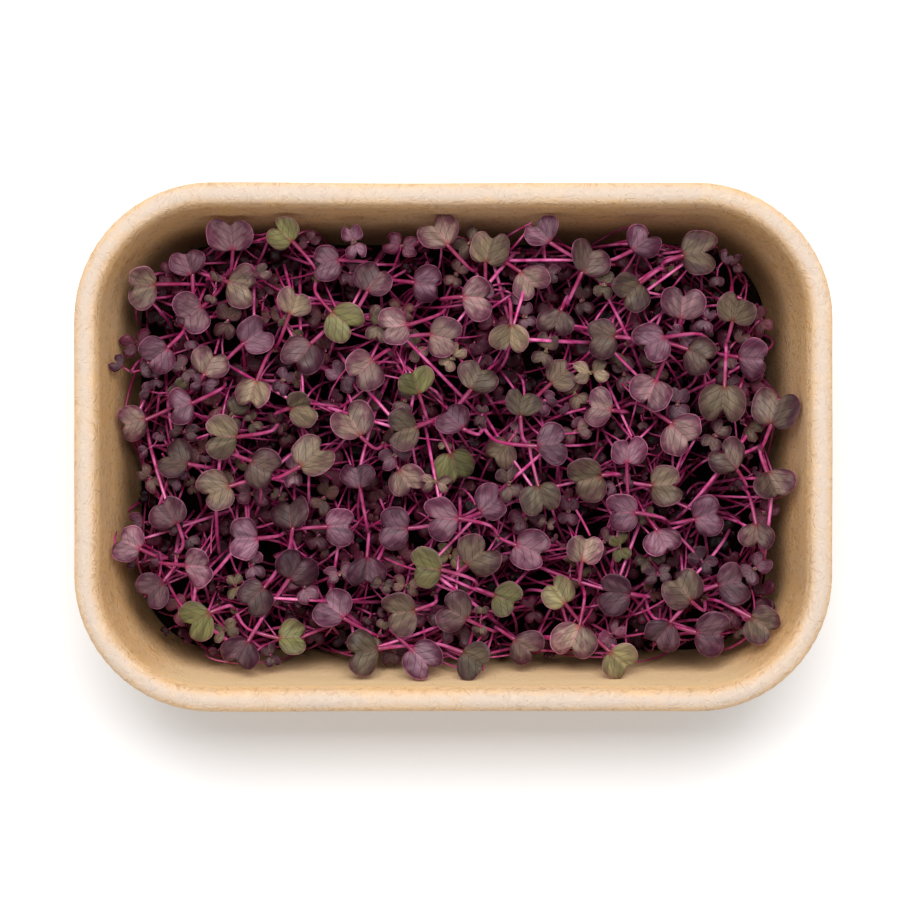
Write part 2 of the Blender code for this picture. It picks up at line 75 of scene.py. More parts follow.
# Tray
TRAY_LENGTH = 0.172
TRAY_WIDTH = 0.120
TRAY_HEIGHT = 0.050
RIM_CORNER_RADIUS = 0.031
RIM_ROLL_RADIUS = 0.0026
WALL_THICKNESS = 0.0012
WALL_TOP_INSET = 0.0039
WALL_FOOT_INSET = 0.0129
WALL_FOOT_HEIGHT = 0.0016
FOOT_RING_OUTER_INSET = 0.0150
FOOT_RING_INNER_INSET = 0.0213
PANEL_INSET = 0.0225
PANEL_RISE = 0.0010
CORNER_PARTS = 64
SIDE_PARTS = (34, 20)
CRIMPS_PER_TURN = 64
CRIMP_NOISE = 9.0
SWAY_NOISE = 38.0
QUARTERS = ((1, 1), (-1, 1), (-1, -1), (1, -1))
LEAST_CORNER_RADIUS = 0.002
SHARP_ANGLE = math.radians(50)

# Growing medium
MEDIUM_BOTTOM = 0.0025
MEDIUM_TOP = 0.0140
MEDIUM_GAP = 0.00045
PLUG_RADIUS = 0.0029
PLUG_TOP = 0.0146
BED_LUMPS = 0.0009
LUMP_NOISE = 260.0
BED_DROP = 0.0003
BED_FOOT_INSET = 0.0014
BED_SIDE_HEIGHTS = (0.0052, MEDIUM_TOP - 0.0012)
BED_RINGS = 26
BED_FIRST_SHARE = 0.015
BED_MIDDLE = 0.004
BED_CORNER_PARTS = 12
BED_SIDE_PARTS = (44, 26)

# Leaves of the canopy, two to a tuft
TUFTS = 54
TUFTS_PER_BAND = 6
LEAF_WIDTH = 0.0104
LEAF_SIZES = (0.84, 1.08)
LEAF_NOTCH = 0.47
LEAF_MIDDLE = 0.33
LEAF_THICKNESS = 0.0006
LEAF_TURN = 0.5
LEAF_PITCH = (-0.30, 0.38)
LEAF_ROLL = 0.32
LEAF_CUP = (-0.05, 0.11)
LEAF_EDGE_INSET = 0.0052
LEAF_SPACING = 0.0122
LEAF_CANDIDATES = 24
EDGE_PULL = 1.2
CANOPY_HEIGHT = 0.0405
CANOPY_DROP = 0.0035
DOME_LIMIT = 1.2
CANOPY_SPREAD = 0.0032

# Pairs of leaves, and the node where their two stalks meet
PAIR_REACH = 0.0200
KNEE_SHARE = 0.45
KNEE_PULL = 0.35
NODE_SHARES = (0.3, 0.7)
NODE_SPREAD = 0.0035
NODE_DROP = (0.0035, 0.0110)
PLUG_PULL = 0.4
PLUG_SPACING = 0.0098
PLUG_SHARE = 0.92
PLUG_EDGE_GAP = 0.0022

# One lobe of each outline, as shares of the leaf's width: across and along the rib
LARGE_LOBE = ((0.30, 0.02), (0.50, 0.33), (0.29, 0.65))
SMALL_LOBE = ((0.43, 0.12), (0.36, 0.62))

# Stems
STEM_RADIUS = 0.00056
STEM_TAPER = 0.85
STEM_BEND = 0.55
STEEP_SHARE = 0.7
PETIOLE_RADIUS = 0.00046
YOUNG_STEM_RADIUS = 0.00038
YOUNG_STALK = 0.00035
STEM_SIDES = 3
STEM_SINK = 0.00030
ROOT_DEPTH = 0.0022
ROOT_SPREAD = 0.0011

# Young seedlings under the canopy, four small lobes in a cross
YOUNG_LEAF_WIDTH = 0.0052
YOUNG_SIZES = (0.8, 1.15)
YOUNG_TURN = 0.25
YOUNG_PITCH = (0.0, 0.30)
YOUNG_ROLL = 0.15
YOUNG_CUP = (0.0, 0.10)
YOUNG_REACH = 0.0140
YOUNG_DROP = 0.0080
YOUNG_CHOICES = 4
YOUNG_PER_TUFT = 2
YOUNG_EDGE_GAP = 0.0035

# Planting rule: what a seedling that finds no room changes at each new try
SEED = 22
CLEARANCE = 0.00022
HEADROOM = 0.001
MOST_TRIES = 400
TRY_SPREAD = 1 / 60
TRY_SHIFT = 0.00002
TRY_SHRINK = 0.0016
SPREAD_ROUNDS = 30
PUSH_SHARE = 0.25

# Undergrowth: small heads on stems, and long stems that end below large leaves
UNDERGROWTH_CHOICES = 10
UNDERGROWTH_STEPS = 7
UPPER_HEIGHTS = (0.0300, 0.0370)
LOWER_HEIGHTS = (0.0215, 0.0300)
HEAD_KINDS = 16
HEAD_SIZES = (0.52, 1.0)
HEAD_TILT = (-0.3, 0.3)
HEAD_REACH = 0.62
HEAD_GAP = 0.0022
HEAD_STALKS = (0.0003, 0.0003, 0.0014, 0.0024)
FOOT_SINK = 0.0008
FOOT_GAP = 0.0018
HEAD_LEAN = 0.0060
HEAD_BEND = 0.0015
HEAD_STEM_RADIUS = 0.00028
HEAD_STEM_GROWTH = 0.00016
LEAN_REACH = (0.005, 0.019)
LEAN_SPREAD = 0.0036
LEAN_DROP = (0.0014, 0.0080)
LEAN_RISE = (0.5, 0.95)
LEAN_BEND = 0.0028
LEAN_RADII = (0.00024, 0.00046)
TRAIL_REACH = (0.020, 0.036)
TRAIL_DROP = (0.0022, 0.0042)
TRAIL_SWAY = 0.0040
TRAIL_ARCH = 0.0010
TRAIL_RADII = (0.00042, 0.00056)
TRAIL_TONE = 0.2

# Crumbs on the bed
CRUMB_RADIUS = 0.0005
CRUMB_SIZES = (0.5, 1.9)
CRUMB_DENSITY = 90000.0

# Camera: where it looks and how wide it sees at the rim's height
VIEW_CENTRE = (-0.00077, -0.00068)
VIEW_WIDTH = 0.20367

# Stage: half the floor's length, how far it lies under the tray, and the lamp
FLOOR_REACH = 1.2
FLOOR_DROP = 0.0001
LAMP_SIZE = (0.8, 0.5)
LAMP_PLACE = (0.0, 0.38, 1.14)
LAMP_TARGET = (0, 0, 0.03)

# Planting rule of the solids, repeated so that each fine seedling stands where its solid does


def inset_of(point):
    """How far a point stands in from the rim's outer edge, seen from above."""
    over_x = abs(point.x) - (TRAY_LENGTH / 2 - RIM_CORNER_RADIUS)
    over_y = abs(point.y) - (TRAY_WIDTH / 2 - RIM_CORNER_RADIUS)
    if over_x > 0 and over_y > 0:
        return RIM_CORNER_RADIUS - math.hypot(over_x, over_y)
    return RIM_CORNER_RADIUS - max(over_x, over_y)


def wall_inset(height):
    """How far the tray's inner wall stands in from the rim's outer edge, at a height."""
    top = TRAY_HEIGHT - 2 * RIM_ROLL_RADIUS
    share = (height - WALL_FOOT_HEIGHT) / (top - WALL_FOOT_HEIGHT)
    return WALL_FOOT_INSET + share * (WALL_TOP_INSET - WALL_FOOT_INSET) + WALL_THICKNESS


def pulled_in(point, least_inset):
    """The point, moved straight in from the nearest edge or corner to an inset."""
    missing = least_inset - inset_of(point)
    if missing <= 0:
        return point
    over = Vector((abs(point.x) - TRAY_LENGTH / 2, abs(point.y) - TRAY_WIDTH / 2, 0))
    over += Vector((RIM_CORNER_RADIUS, RIM_CORNER_RADIUS, 0))
    if over.x > 0 and over.y > 0:
        way = over.normalized()
    elif over.x > over.y:
        way = Vector((1, 0, 0))
    else:
        way = Vector((0, 1, 0))
    way.x = math.copysign(way.x, point.x)
    way.y = math.copysign(way.y, point.y)
    return point - way * missing


# Meshes as (points, faces), joined before they become objects


def joined(pieces):
    """One list of points and one of faces from several meshes."""
    points = []
    faces = []
    for piece_points, piece_faces in pieces:
        start = len(points)
        points += piece_points
        faces += [[start + corner for corner in face] for face in piece_faces]
    return points, faces


def lofted(rings):
    """A closed solid through rings of points, with its first and last ring filled."""
    count = len(rings[0])
    points = [point for ring in rings for point in ring]
    faces = [list(range(count))[::-1]]
    for level in range(len(rings) - 1):
        start = level * count
        for corner in range(count):
            following = (corner + 1) % count
            face = [corner, following, count + following, count + corner]
            faces.append([start + point for point in face])
    last = len(points) - count
    faces.append(list(range(last, last + count)))
    return points, faces


def tube(path, first_radius, last_radius, sides):
    """A tapering stem with flat ends along a path."""
    run = path[-1] - path[0]
    reference = Vector((0, 0, 1))
    if abs(run.z) > STEEP_SHARE * run.length:
        reference = Vector((1, 0, 0))
    rings = []
    for index, point in enumerate(path):
        before = path[max(index - 1, 0)]
        after = path[min(index + 1, len(path) - 1)]
        along = (after - before).normalized()
        across = reference.cross(along).normalized()
        upward = along.cross(across)
        radius = first_radius + (last_radius - first_radius) * index / (len(path) - 1)
        ring = []
        for side in range(sides):
            angle = 2 * math.pi * side / sides
            ring.append(point + radius * (math.cos(angle) * across + math.sin(angle) * upward))
        rings.append(ring)
    return lofted(rings)


def bent(start, middle, end, steps):
    """Points along a curve that leaves start towards middle and comes to end from it."""
    points = []
    for step in range(steps + 1):
        share = step / steps
        first = start.lerp(middle, share)
        second = middle.lerp(end, share)
        points.append(first.lerp(second, share))
    return points


def blade(leaf, lobe, extra):
    """A leaf of two lobes, open along its base edge: its points, its faces and that edge."""
    width = leaf["width"] + 2 * extra
    half_base = leaf["stalk"] + extra
    half_thickness = LEAF_THICKNESS / 2 + extra
    outline = [(across * width, along * width) for across, along in lobe]
    outline += [(0.0, LEAF_NOTCH * width)]
    outline += [(-across * width, along * width) for across, along in reversed(lobe)]
    outline = [(half_base, 0.0)] + outline + [(-half_base, 0.0)]
    count = len(outline)
    notch = len(lobe) + 1
    points = []
    for side in (half_thickness, -half_thickness):
        for across, along in outline:
            rise = leaf["cup"] * (2 * across / width) ** 2 * width
            points.append(leaf["place"] @ Vector((across, along, rise + side)))
    top = [[0, corner, corner + 1] for corner in range(1, notch)]
    top += [[0, notch, count - 1]]
    top += [[count - 1, corner, corner + 1] for corner in range(notch, count - 2)]
    faces = list(top)
    faces += [[count + corner for corner in reversed(face)] for face in top]
    for corner in range(count - 1):
        following = corner + 1
        faces.append([corner, count + corner, count + following])
        faces.append([corner, count + following, following])
    return points, faces, [0, count, 2 * count - 1, count - 1]


def leaf_strap(leaves, stalk_path, lobe, extra):
    """Two leaves and the stalk between them as one closed solid."""
    points, faces, edge = blade(leaves[0], lobe, extra)
    last_points, last_faces, last_edge = blade(leaves[1], lobe, extra)
    last_edge = [len(points) + corner for corner in last_edge]
    points, faces = joined([(points, faces), (last_points, last_faces)])
    rings = [[edge[3], edge[2], edge[1], edge[0]]]
    for index in range(1, len(stalk_path) - 1):
        along = (stalk_path[index + 1] - stalk_path[index - 1]).normalized()
        right = along.cross(Vector((0, 0, 1))).normalized() * (PETIOLE_RADIUS + extra)
        upward = right.cross(along)
        ring = []
        for corner in (right + upward, right - upward, -right - upward, -right + upward):
            ring.append(len(points))
            points.append(stalk_path[index] + corner)
        rings.append(ring)
    rings.append(last_edge)
    for ring, next_ring in zip(rings, rings[1:]):
        for corner in range(4):
            following = (corner + 1) % 4
            face = [ring[corner], ring[following], next_ring[following], next_ring[corner]]
            faces.append(face)
    return points, faces


# Seedlings


def leaf_place(centre, heading, pitch, roll, width):
    """The leaf's own frame: its base at the origin and its rib along +Y."""
    turn = Matrix.Rotation(heading - math.pi / 2, 4, "Z")
    lean = Matrix.Rotation(pitch, 4, "X") @ Matrix.Rotation(roll, 4, "Y")
    middle = Matrix.Translation(Vector((0, -LEAF_MIDDLE * width, 0)))
    return Matrix.Translation(centre) @ turn @ lean @ middle


def grown_seedling(draw, root, node, centres, width):
    """A seedling with two leaves on stalks: its stem, the stalks' path and the leaves."""
    leaves = []
    for centre in centres:
        away = centre - node
        heading = math.atan2(away.y, away.x) + draw.uniform(-LEAF_TURN, LEAF_TURN)
        size = width * draw.uniform(*LEAF_SIZES)
        pitch = draw.uniform(*LEAF_PITCH)
        place = leaf_place(centre, heading, pitch, draw.uniform(-LEAF_ROLL, LEAF_ROLL), size)
        cup = draw.uniform(*LEAF_CUP)
        leaves.append({"place": place, "width": size, "cup": cup, "stalk": PETIOLE_RADIUS})
    first, last = [leaf["place"].translation for leaf in leaves]
    knees = []
    for leaf in leaves:
        base = leaf["place"].translation
        along_rib = Vector((0, KNEE_SHARE * (node - base).length, 0))
        knees.append((base - leaf["place"].to_3x3() @ along_rib).lerp(node, KNEE_PULL))
    upright = Vector((root.x, root.y, root.z + STEM_BEND * (node.z - root.z)))
    stalk_path = [first, knees[0], node, knees[1], last]
    top = node + (node - upright).normalized() * STEM_SINK
    return {"stem": bent(root, upright, top, 3), "stalk": stalk_path, "leaves": leaves, "grown": True}


def young_seedling(draw, root, node, width):
    """A young seedling whose two small leaves sit right on the stem, as a cross of four lobes."""
    turn = draw.uniform(0, math.pi)
    leaves = []
    for side in range(2):
        heading = turn + side * math.pi + draw.uniform(-YOUNG_TURN, YOUNG_TURN)
        way = Vector((math.cos(heading), math.sin(heading), 0))
        centre = node + way * (LEAF_MIDDLE * width + YOUNG_STALK)
        pitch = draw.uniform(*YOUNG_PITCH)
        place = leaf_place(centre, heading, pitch, draw.uniform(-YOUNG_ROLL, YOUNG_ROLL), width)
        cup = draw.uniform(*YOUNG_CUP)
        leaves.append({"place": place, "width": width, "cup": cup, "stalk": YOUNG_STEM_RADIUS})
    stalk_path = [leaf["place"].translation for leaf in leaves]
    upright = Vector((root.x, root.y, root.z + STEM_BEND * (node.z - root.z)))
    top = stalk_path[0].lerp(stalk_path[1], 0.5)
    return {"stem": bent(root, upright, top, 2), "stalk": stalk_path, "leaves": leaves, "grown": False}


def seedling_pieces(seedling, extra):
    """The seedling's two solids, stem and leaves, each a little larger where extra is over 0."""
    if seedling["grown"]:
        radius, lobe = STEM_RADIUS, LARGE_LOBE
    else:
        radius, lobe = YOUNG_STEM_RADIUS, SMALL_LOBE
    stem = tube(seedling["stem"], radius + extra, STEM_TAPER * radius + extra, STEM_SIDES)
    return [stem, leaf_strap(seedling["leaves"], seedling["stalk"], lobe, extra)]


class Field:
    """What has been planted so far, for keeping each new seedling clear of it."""

    def __init__(self):
        self.planted = []

    def is_clear(self, seedling):
        points, faces = joined(seedling_pieces(seedling, CLEARANCE))
        for point in points:
            least_inset = wall_inset(point.z) + CLEARANCE
            if point.z > TRAY_HEIGHT - HEADROOM or inset_of(point) < least_inset:
                return False
        low = Vector(min(point[axis] for point in points) for axis in range(3))
        high = Vector(max(point[axis] for point in points) for axis in range(3))
        shape = BVHTree.FromPolygons(points, faces)
        for other_low, other_high, other in self.planted:
            below = any(high[axis] < other_low[axis] for axis in range(3))
            above = any(low[axis] > other_high[axis] for axis in range(3))
            if not below and not above and shape.overlap(other):
                return False
        self.planted.append((low, high, shape))
        return True


# Planting rule: leaves spread over the tray and paired into seedlings, each pair on a tuft's plug


def canopy_height(point):
    """The height of the canopy over a place: a low dome, lowest at the wall."""
    out = (2 * point.x / TRAY_LENGTH) ** 2 + (2 * point.y / TRAY_WIDTH) ** 2
    return CANOPY_HEIGHT - CANOPY_DROP * min(out, DOME_LIMIT)


def spread_apart(places, spacing, least_inset):
    """The places, pushed apart wherever two are closer than the spacing, and kept off the wall."""
    places = [place.copy() for place in places]
    for _ in range(SPREAD_ROUNDS):
        for first in range(len(places)):
            for second in range(first):
                away = places[first] - places[second]
                missing = spacing - away.length
                if missing > 0:
                    push = away.normalized() * missing * PUSH_SHARE
                    places[first] += push
                    places[second] -= push
        places = [pulled_in(place, least_inset) for place in places]
    return places


def anywhere(draw):
    """A place drawn evenly over the tray."""
    half_x = TRAY_LENGTH / 2
    half_y = TRAY_WIDTH / 2
    return Vector((draw.uniform(-half_x, half_x), draw.uniform(-half_y, half_y), 0))


def leaf_centres():
    """Centres of the canopy's leaves: each is the candidate that stands furthest from the others."""
    draw = random.Random(SEED)
    least_inset = wall_inset(CANOPY_HEIGHT) + LEAF_EDGE_INSET
    centres = []
    while len(centres) < 2 * TUFTS:
        best = None
        best_gap = 0.0
        for _ in range(LEAF_CANDIDATES):
            place = anywhere(draw)
            off_edge = inset_of(place) - least_inset
            gaps = [(place - other).length for other in centres]
            gap = min(gaps + [LEAF_SPACING / 2 + EDGE_PULL * off_edge])
            if off_edge > 0 and gap > best_gap:
                best = place
                best_gap = gap
        if best:
            centres.append(best)
    return spread_apart(centres, LEAF_SPACING, least_inset)


def pair_cost(pair):
    """How far two leaves are from being a seedling's reach apart."""
    return ((pair[0] - pair[1]).length - PAIR_REACH) ** 2


def leaf_pairs():
    """The leaf centres in pairs, swapping partners for as long as that suits a seedling's reach."""
    centres = sorted(leaf_centres(), key=lambda place: place.x)
    pairs = list(zip(centres[::2], centres[1::2]))
    improved = True
    while improved:
        improved = False
        for first in range(len(pairs)):
            for second in range(first):
                one, two = pairs[first]
                three, four = pairs[second]
                cost = pair_cost(pairs[first]) + pair_cost(pairs[second])
                for swapped in (((one, three), (two, four)), ((one, four), (two, three))):
                    new_cost = pair_cost(swapped[0]) + pair_cost(swapped[1])
                    if new_cost < cost and not math.isclose(new_cost, cost):
                        pairs[first], pairs[second] = swapped
                        cost = new_cost
                        improved = True
    return pairs


def plug_places(pairs):
    """A plug for each pair, under its middle and a little towards the tray's middle."""
    least_inset = wall_inset(MEDIUM_TOP) + MEDIUM_GAP + PLUG_RADIUS + PLUG_EDGE_GAP
    middles = [PLUG_SHARE * (one + two) / 2 for one, two in pairs]
    return spread_apart(middles, PLUG_SPACING, least_inset)


def planted_places():
    """Every (plug, leaf pair), in bands across the tray's width and from left to right in each."""
    pairs = leaf_pairs()
    places = sorted(zip(plug_places(pairs), pairs), key=lambda place: place[0].y)
    in_order = []
    for start in range(0, TUFTS, TUFTS_PER_BAND):
        band = places[start : start + TUFTS_PER_BAND]
        in_order += sorted(band, key=lambda place: place[0].x)
    return in_order


def any_way(draw):
    """A level direction drawn evenly."""
    angle = draw.uniform(0, 2 * math.pi)
    return Vector((math.cos(angle), math.sin(angle), 0))


def root_on(plug, draw):
    """Where a seedling's stem starts, sunk in a plug's top."""
    return plug + any_way(draw) * ROOT_SPREAD + Vector((0, 0, PLUG_TOP - ROOT_DEPTH))


def planted_grown(field, draw, plug, pair):
    """The tuft's grown seedling, drawn again until it stands clear of the others."""
    root = root_on(plug, draw)
    for attempt in range(MOST_TRIES):
        spread = CANOPY_SPREAD * (1 + TRY_SPREAD * attempt)
        centres = []
        for place in pair:
            height = canopy_height(place) + draw.uniform(-spread, spread)
            moved = any_way(draw) * TRY_SHIFT * attempt
            centres.append(Vector((place.x, place.y, height)) + moved)
        node = centres[0].lerp(centres[1], draw.uniform(*NODE_SHARES))
        node += any_way(draw) * NODE_SPREAD * draw.random()
        node = node.lerp(Vector((plug.x, plug.y, node.z)), PLUG_PULL * draw.random())
        node.z = min(centre.z for centre in centres) - draw.uniform(*NODE_DROP)
        width = LEAF_WIDTH * (1 - TRY_SHRINK * attempt)
        seedling = grown_seedling(draw, root, node, centres, width)
        if field.is_clear(seedling):
            return seedling
    raise RuntimeError("no clear place for a grown seedling")


def gap_between(leaves, plug, draw):
    """The widest of a few drawn places among the leaves, within a young seedling's reach of its plug."""
    lowest = CANOPY_HEIGHT - YOUNG_PER_TUFT * YOUNG_DROP
    best = None
    best_gap = 0.0
    for _ in range(YOUNG_CHOICES):
        place = plug + any_way(draw) * YOUNG_REACH * math.sqrt(draw.random())
        place = pulled_in(place, wall_inset(lowest) + YOUNG_EDGE_GAP)
        gap = min((place - leaf).length for leaf in leaves)
        if gap > best_gap:
            best = place
            best_gap = gap
    return best


def planted_young(field, draw, plug, leaves, least_drop):
    """A young seedling of the tuft, or None where the tuft has no room for it."""
    for _ in range(MOST_TRIES):
        root = root_on(plug, draw)
        node = gap_between(leaves, plug, draw)
        node.z = canopy_height(node) - least_drop - draw.uniform(0.0, YOUNG_DROP)
        seedling = young_seedling(draw, root, node, YOUNG_LEAF_WIDTH * draw.uniform(*YOUNG_SIZES))
        if field.is_clear(seedling):
            return seedling
    return None


def planted_tufts():
    """Every tuft as (plug place, seedlings): the grown ones first, then the young ones in the gaps."""
    field = Field()
    tufts = []
    leaves = []
    for index, (plug, pair) in enumerate(planted_places()):
        draw = random.Random(SEED * 1000 + index)
        tufts.append((plug, [planted_grown(field, draw, plug, pair)]))
        leaves += [Vector((leaf.x, leaf.y, 0)) for leaf in pair]
    for turn in range(YOUNG_PER_TUFT):
        for index, (plug, seedlings) in enumerate(tufts):
            draw = random.Random(SEED * 2000 + 100 * turn + index)
            young = planted_young(field, draw, plug, leaves, turn * YOUNG_DROP)
            if young:
                seedlings.append(young)
                leaves.append(Vector((*young["stem"][-1].xy, 0)))
    return tufts


# Settings that a user would change


def colour_setting(name, description, default):
    """A colour that a user can change."""
    return FloatVectorProperty(
        name=name, description=description, subtype="COLOR", default=default, min=0.0, max=1.0,
    )


def length_setting(name, description, default, most, least=0.0):
    """A length that a user can change."""
    return FloatProperty(
        name=name, description=description, subtype="DISTANCE", default=default, min=least, max=most,
    )


def count_setting(name, description, default):
    """A whole number that a user can change."""
    return IntProperty(name=name, description=description, default=default, min=0)


class TrayLook(bpy.types.PropertyGroup):
    """Colours and relief of the kraft tray."""

    # Pale kraft is mixed in at random over the board, and on the rim's crown as painted highlight
    pale: colour_setting("Pale kraft", "Colour of the rim's worn, lit fibres", (0.590, 0.475, 0.385))
    tan: colour_setting("Tan kraft", "Colour of the pressed board", (0.82, 0.480, 0.185))
    crimp_depth: length_setting("Crimp depth", "Depth of the folds in the rim's corners", 0.00010, 0.001)
    waviness: length_setting("Rim waviness", "How far the rim strays from a true outline", 0.00022, 0.001)


class LeafLook(bpy.types.PropertyGroup):
    """Colours and relief of the seed leaves."""

    purple: colour_setting("Purple", "Middle of a purple leaf", (0.126, 0.060, 0.082))
    olive: colour_setting("Olive", "Middle of an olive leaf", (0.138, 0.098, 0.062))
    green: colour_setting("Green", "Middle of a green leaf", (0.112, 0.104, 0.038))
    outer: colour_setting("Outer blade", "Purple of every leaf's outer part", (0.050, 0.007, 0.022))
    margin: colour_setting("Margin", "Thin lit edge of the blade", (0.36, 0.13, 0.20))
    thickness: length_setting("Blade thickness", "Thickness of a seed leaf", 0.00034, 0.0006, 0.0001)
    ruffle: FloatProperty(
        name="Ruffle", description="Height of the margin's waves, as a share of the leaf's width",
        default=0.020, min=0.0, max=0.1,
    )


class StemLook(bpy.types.PropertyGroup):
    """Colours of the stems and stalks."""

    magenta: colour_setting("Magenta", "Colour of the stems", (0.43, 0.018, 0.145))
    # Rosy is partly the stems' own colour and partly painted highlight
    rosy: colour_setting("Rosy", "Lighter streaks on the stems", (0.80, 0.205, 0.46))
    rust: colour_setting("Rust", "Tint where a stalk meets an olive or green leaf", (0.15, 0.010, 0.028))


class UndergrowthLook(bpy.types.PropertyGroup):
    """Numbers of the small seedlings under the canopy, and of the crumbs on the bed."""

    upper: count_setting("Upper seedlings", "Small seedlings just under the canopy", 80)
    lower: count_setting("Lower seedlings", "Small seedlings down in its shade", 130)
    leaning: count_setting("Leaning stems", "Long stems whose heads are hidden under large leaves", 1400)
    trailing: count_setting("Trailing stems", "Long bare stems that run just below the large leaves", 64)
    crumb_spacing: length_setting("Crumb spacing", "Least distance between two crumbs", 0.0035, 0.02, 0.001)
    seed: count_setting("Seed", "Seed of the small seedlings' places", 5)


class StageLook(bpy.types.PropertyGroup):
    """Light, floor and camera."""

    key_power: FloatProperty(
        name="Key light", description="Power of the soft light behind the tray", subtype="POWER",
        default=15.5, min=0.0,
    )
    sky: FloatProperty(name="Sky", description="Strength of the even white light", default=0.50, min=0.0)
    camera_height: length_setting("Camera height", "Height of the camera over the rim", 0.75, 3.0, 0.2)


# Meshes of the finished pieces


def even_outline(inset, height, corner_parts, side_parts, pressed=None):
    """The tray's outline moved in, in even short steps; pressed gives how far its corners are dented."""
    radius = max(RIM_CORNER_RADIUS - inset, LEAST_CORNER_RADIUS)
    half = Vector((TRAY_LENGTH / 2 - inset - radius, TRAY_WIDTH / 2 - inset - radius))
    centres = [Vector((side_x * half.x, side_y * half.y, height)) for side_x, side_y in QUARTERS]
    points = []
    for quarter, centre in enumerate(centres):
        for step in range(corner_parts + 1):
            share = step / corner_parts
            angle = (quarter + share) * math.pi / 2
            out = Vector((math.cos(angle), math.sin(angle), 0))
            depth = pressed(out, angle, share) if pressed else 0.0
            points.append(centre + (radius - depth) * out)
        parts = side_parts[quarter % 2]
        following = centres[(quarter + 1) % 4]
        points += [centre.lerp(following, step / parts) + radius * out for step in range(1, parts)]
    return points


def rim_outline(inset, height, look, rim_share):
    """A ring of the tray, a little wavy, with crimps round its corners."""

    def crimp(out, angle, share):
        depth = look.crimp_depth * math.sin(math.pi * share) ** 0.5 * rim_share
        depth *= 0.5 - 0.5 * math.cos(angle * CRIMPS_PER_TURN)
        return depth * (0.4 + 1.2 * noise.noise(out * CRIMP_NOISE) ** 2 + 0.5 * rim_share)

    wavy = []
    for point in even_outline(inset, height, CORNER_PARTS, SIDE_PARTS, crimp):
        sway = noise.noise(Vector((point.x, point.y, 0.3)) * SWAY_NOISE) * look.waviness
        inward = -Vector((point.x, point.y, 0)).normalized()
        wavy.append(point + inward * (look.waviness + sway) * rim_share)
    return wavy


# Shares of the rim's relief, from the outer wall round the roll to the inner wall
OUTER_WALL_RELIEF = 0.3
EDGE_RELIEF = 0.9
INNER_WALL_RELIEF = 0.4
OUTER_WALL_LEVELS = (0.33, 0.66, 0.92)
INNER_WALL_HEIGHTS = (0.036, 0.032, 0.024, 0.015, 0.0050)

# The roll of the rim, in degrees from the outer wall's top to the inner wall's
ROLL_START = -30
ROLL_END = 240
ROLL_STEP = 15

# The rim's inner edge as (inset, height): the pressed board turns softly down into the wall
SOFT_EDGE = (
    (0.00512, 0.04800), (0.00545, 0.04720), (0.00568, 0.04630), (0.00585, 0.04520), (0.00600, 0.04390),
    (0.00622, 0.04200), (0.00655, 0.03960),
)


def tray_section():
    """The tray's section as (inset, height, share of the rim's relief)."""
    section = [
        (PANEL_INSET + 0.0006, PANEL_RISE, 0.0),
        (PANEL_INSET, PANEL_RISE - 0.0001, 0.0),
        (FOOT_RING_INNER_INSET + 0.0002, 0.0001, 0.0),
        (FOOT_RING_INNER_INSET - 0.0004, 0.0, 0.0),
        (FOOT_RING_OUTER_INSET, 0.0, 0.0),
        (WALL_FOOT_INSET + 0.0010, 0.0003, 0.0),
        (WALL_FOOT_INSET + 0.0003, 0.0008, 0.0),
        (WALL_FOOT_INSET, WALL_FOOT_HEIGHT, 0.0),
    ]
    for share in OUTER_WALL_LEVELS:
        height = WALL_FOOT_HEIGHT + share * (TRAY_HEIGHT - 2 * RIM_ROLL_RADIUS - WALL_FOOT_HEIGHT)
        section.append((wall_inset(height) - WALL_THICKNESS, height, OUTER_WALL_RELIEF * share))
    centre = TRAY_HEIGHT - RIM_ROLL_RADIUS
    for degrees in range(ROLL_START, ROLL_END + 1, ROLL_STEP):
        angle = math.radians(degrees)
        inset = RIM_ROLL_RADIUS * (1 - math.sin(angle))
        section.append((inset, centre - RIM_ROLL_RADIUS * math.cos(angle), 1.0))
    section += [(inset, height, EDGE_RELIEF) for inset, height in SOFT_EDGE]
    section += [(wall_inset(height), height, INNER_WALL_RELIEF) for height in INNER_WALL_HEIGHTS]
    section += [
        (FOOT_RING_OUTER_INSET - 0.0009, 0.0030, 0.0),
        (FOOT_RING_OUTER_INSET + 0.0004, 0.0017, 0.0),
        (FOOT_RING_OUTER_INSET + 0.0018, WALL_THICKNESS, 0.0),
        (FOOT_RING_INNER_INSET - 0.0004, WALL_THICKNESS, 0.0),
        (PANEL_INSET - 0.0002, PANEL_RISE + WALL_THICKNESS, 0.0),
    ]
    return section


def bed_mesh():
    """The coir bed: a closed block whose top is lumpy."""
    rings = [bed_outline(FOOT_RING_OUTER_INSET + BED_FOOT_INSET, MEDIUM_BOTTOM, 0.0)]
    for height in BED_SIDE_HEIGHTS:
        rings.append(bed_outline(wall_inset(height) + MEDIUM_GAP, height, 0.0))
    edge = wall_inset(MEDIUM_TOP) + MEDIUM_GAP
    for ring in range(BED_RINGS + 1):
        share = BED_FIRST_SHARE + (1 - BED_FIRST_SHARE) * ring / BED_RINGS
        inset = edge + share * (TRAY_WIDTH / 2 - edge - BED_MIDDLE)
        rings.append(bed_outline(inset, MEDIUM_TOP - BED_DROP, BED_LUMPS))
    return lofted(rings)


def bed_outline(inset, height, lumps):
    """A ring of the bed, lumpy by so much, whose corners tighten as it moves in."""
    points = even_outline(inset, height, BED_CORNER_PARTS, BED_SIDE_PARTS)
    for point in points:
        lump = noise.fractal(Vector((point.x, point.y, 0.0)) * LUMP_NOISE, 1.0, 2.0, 3)
        point.z += lumps * max(-1.0, min(1.0, lump))
    return points


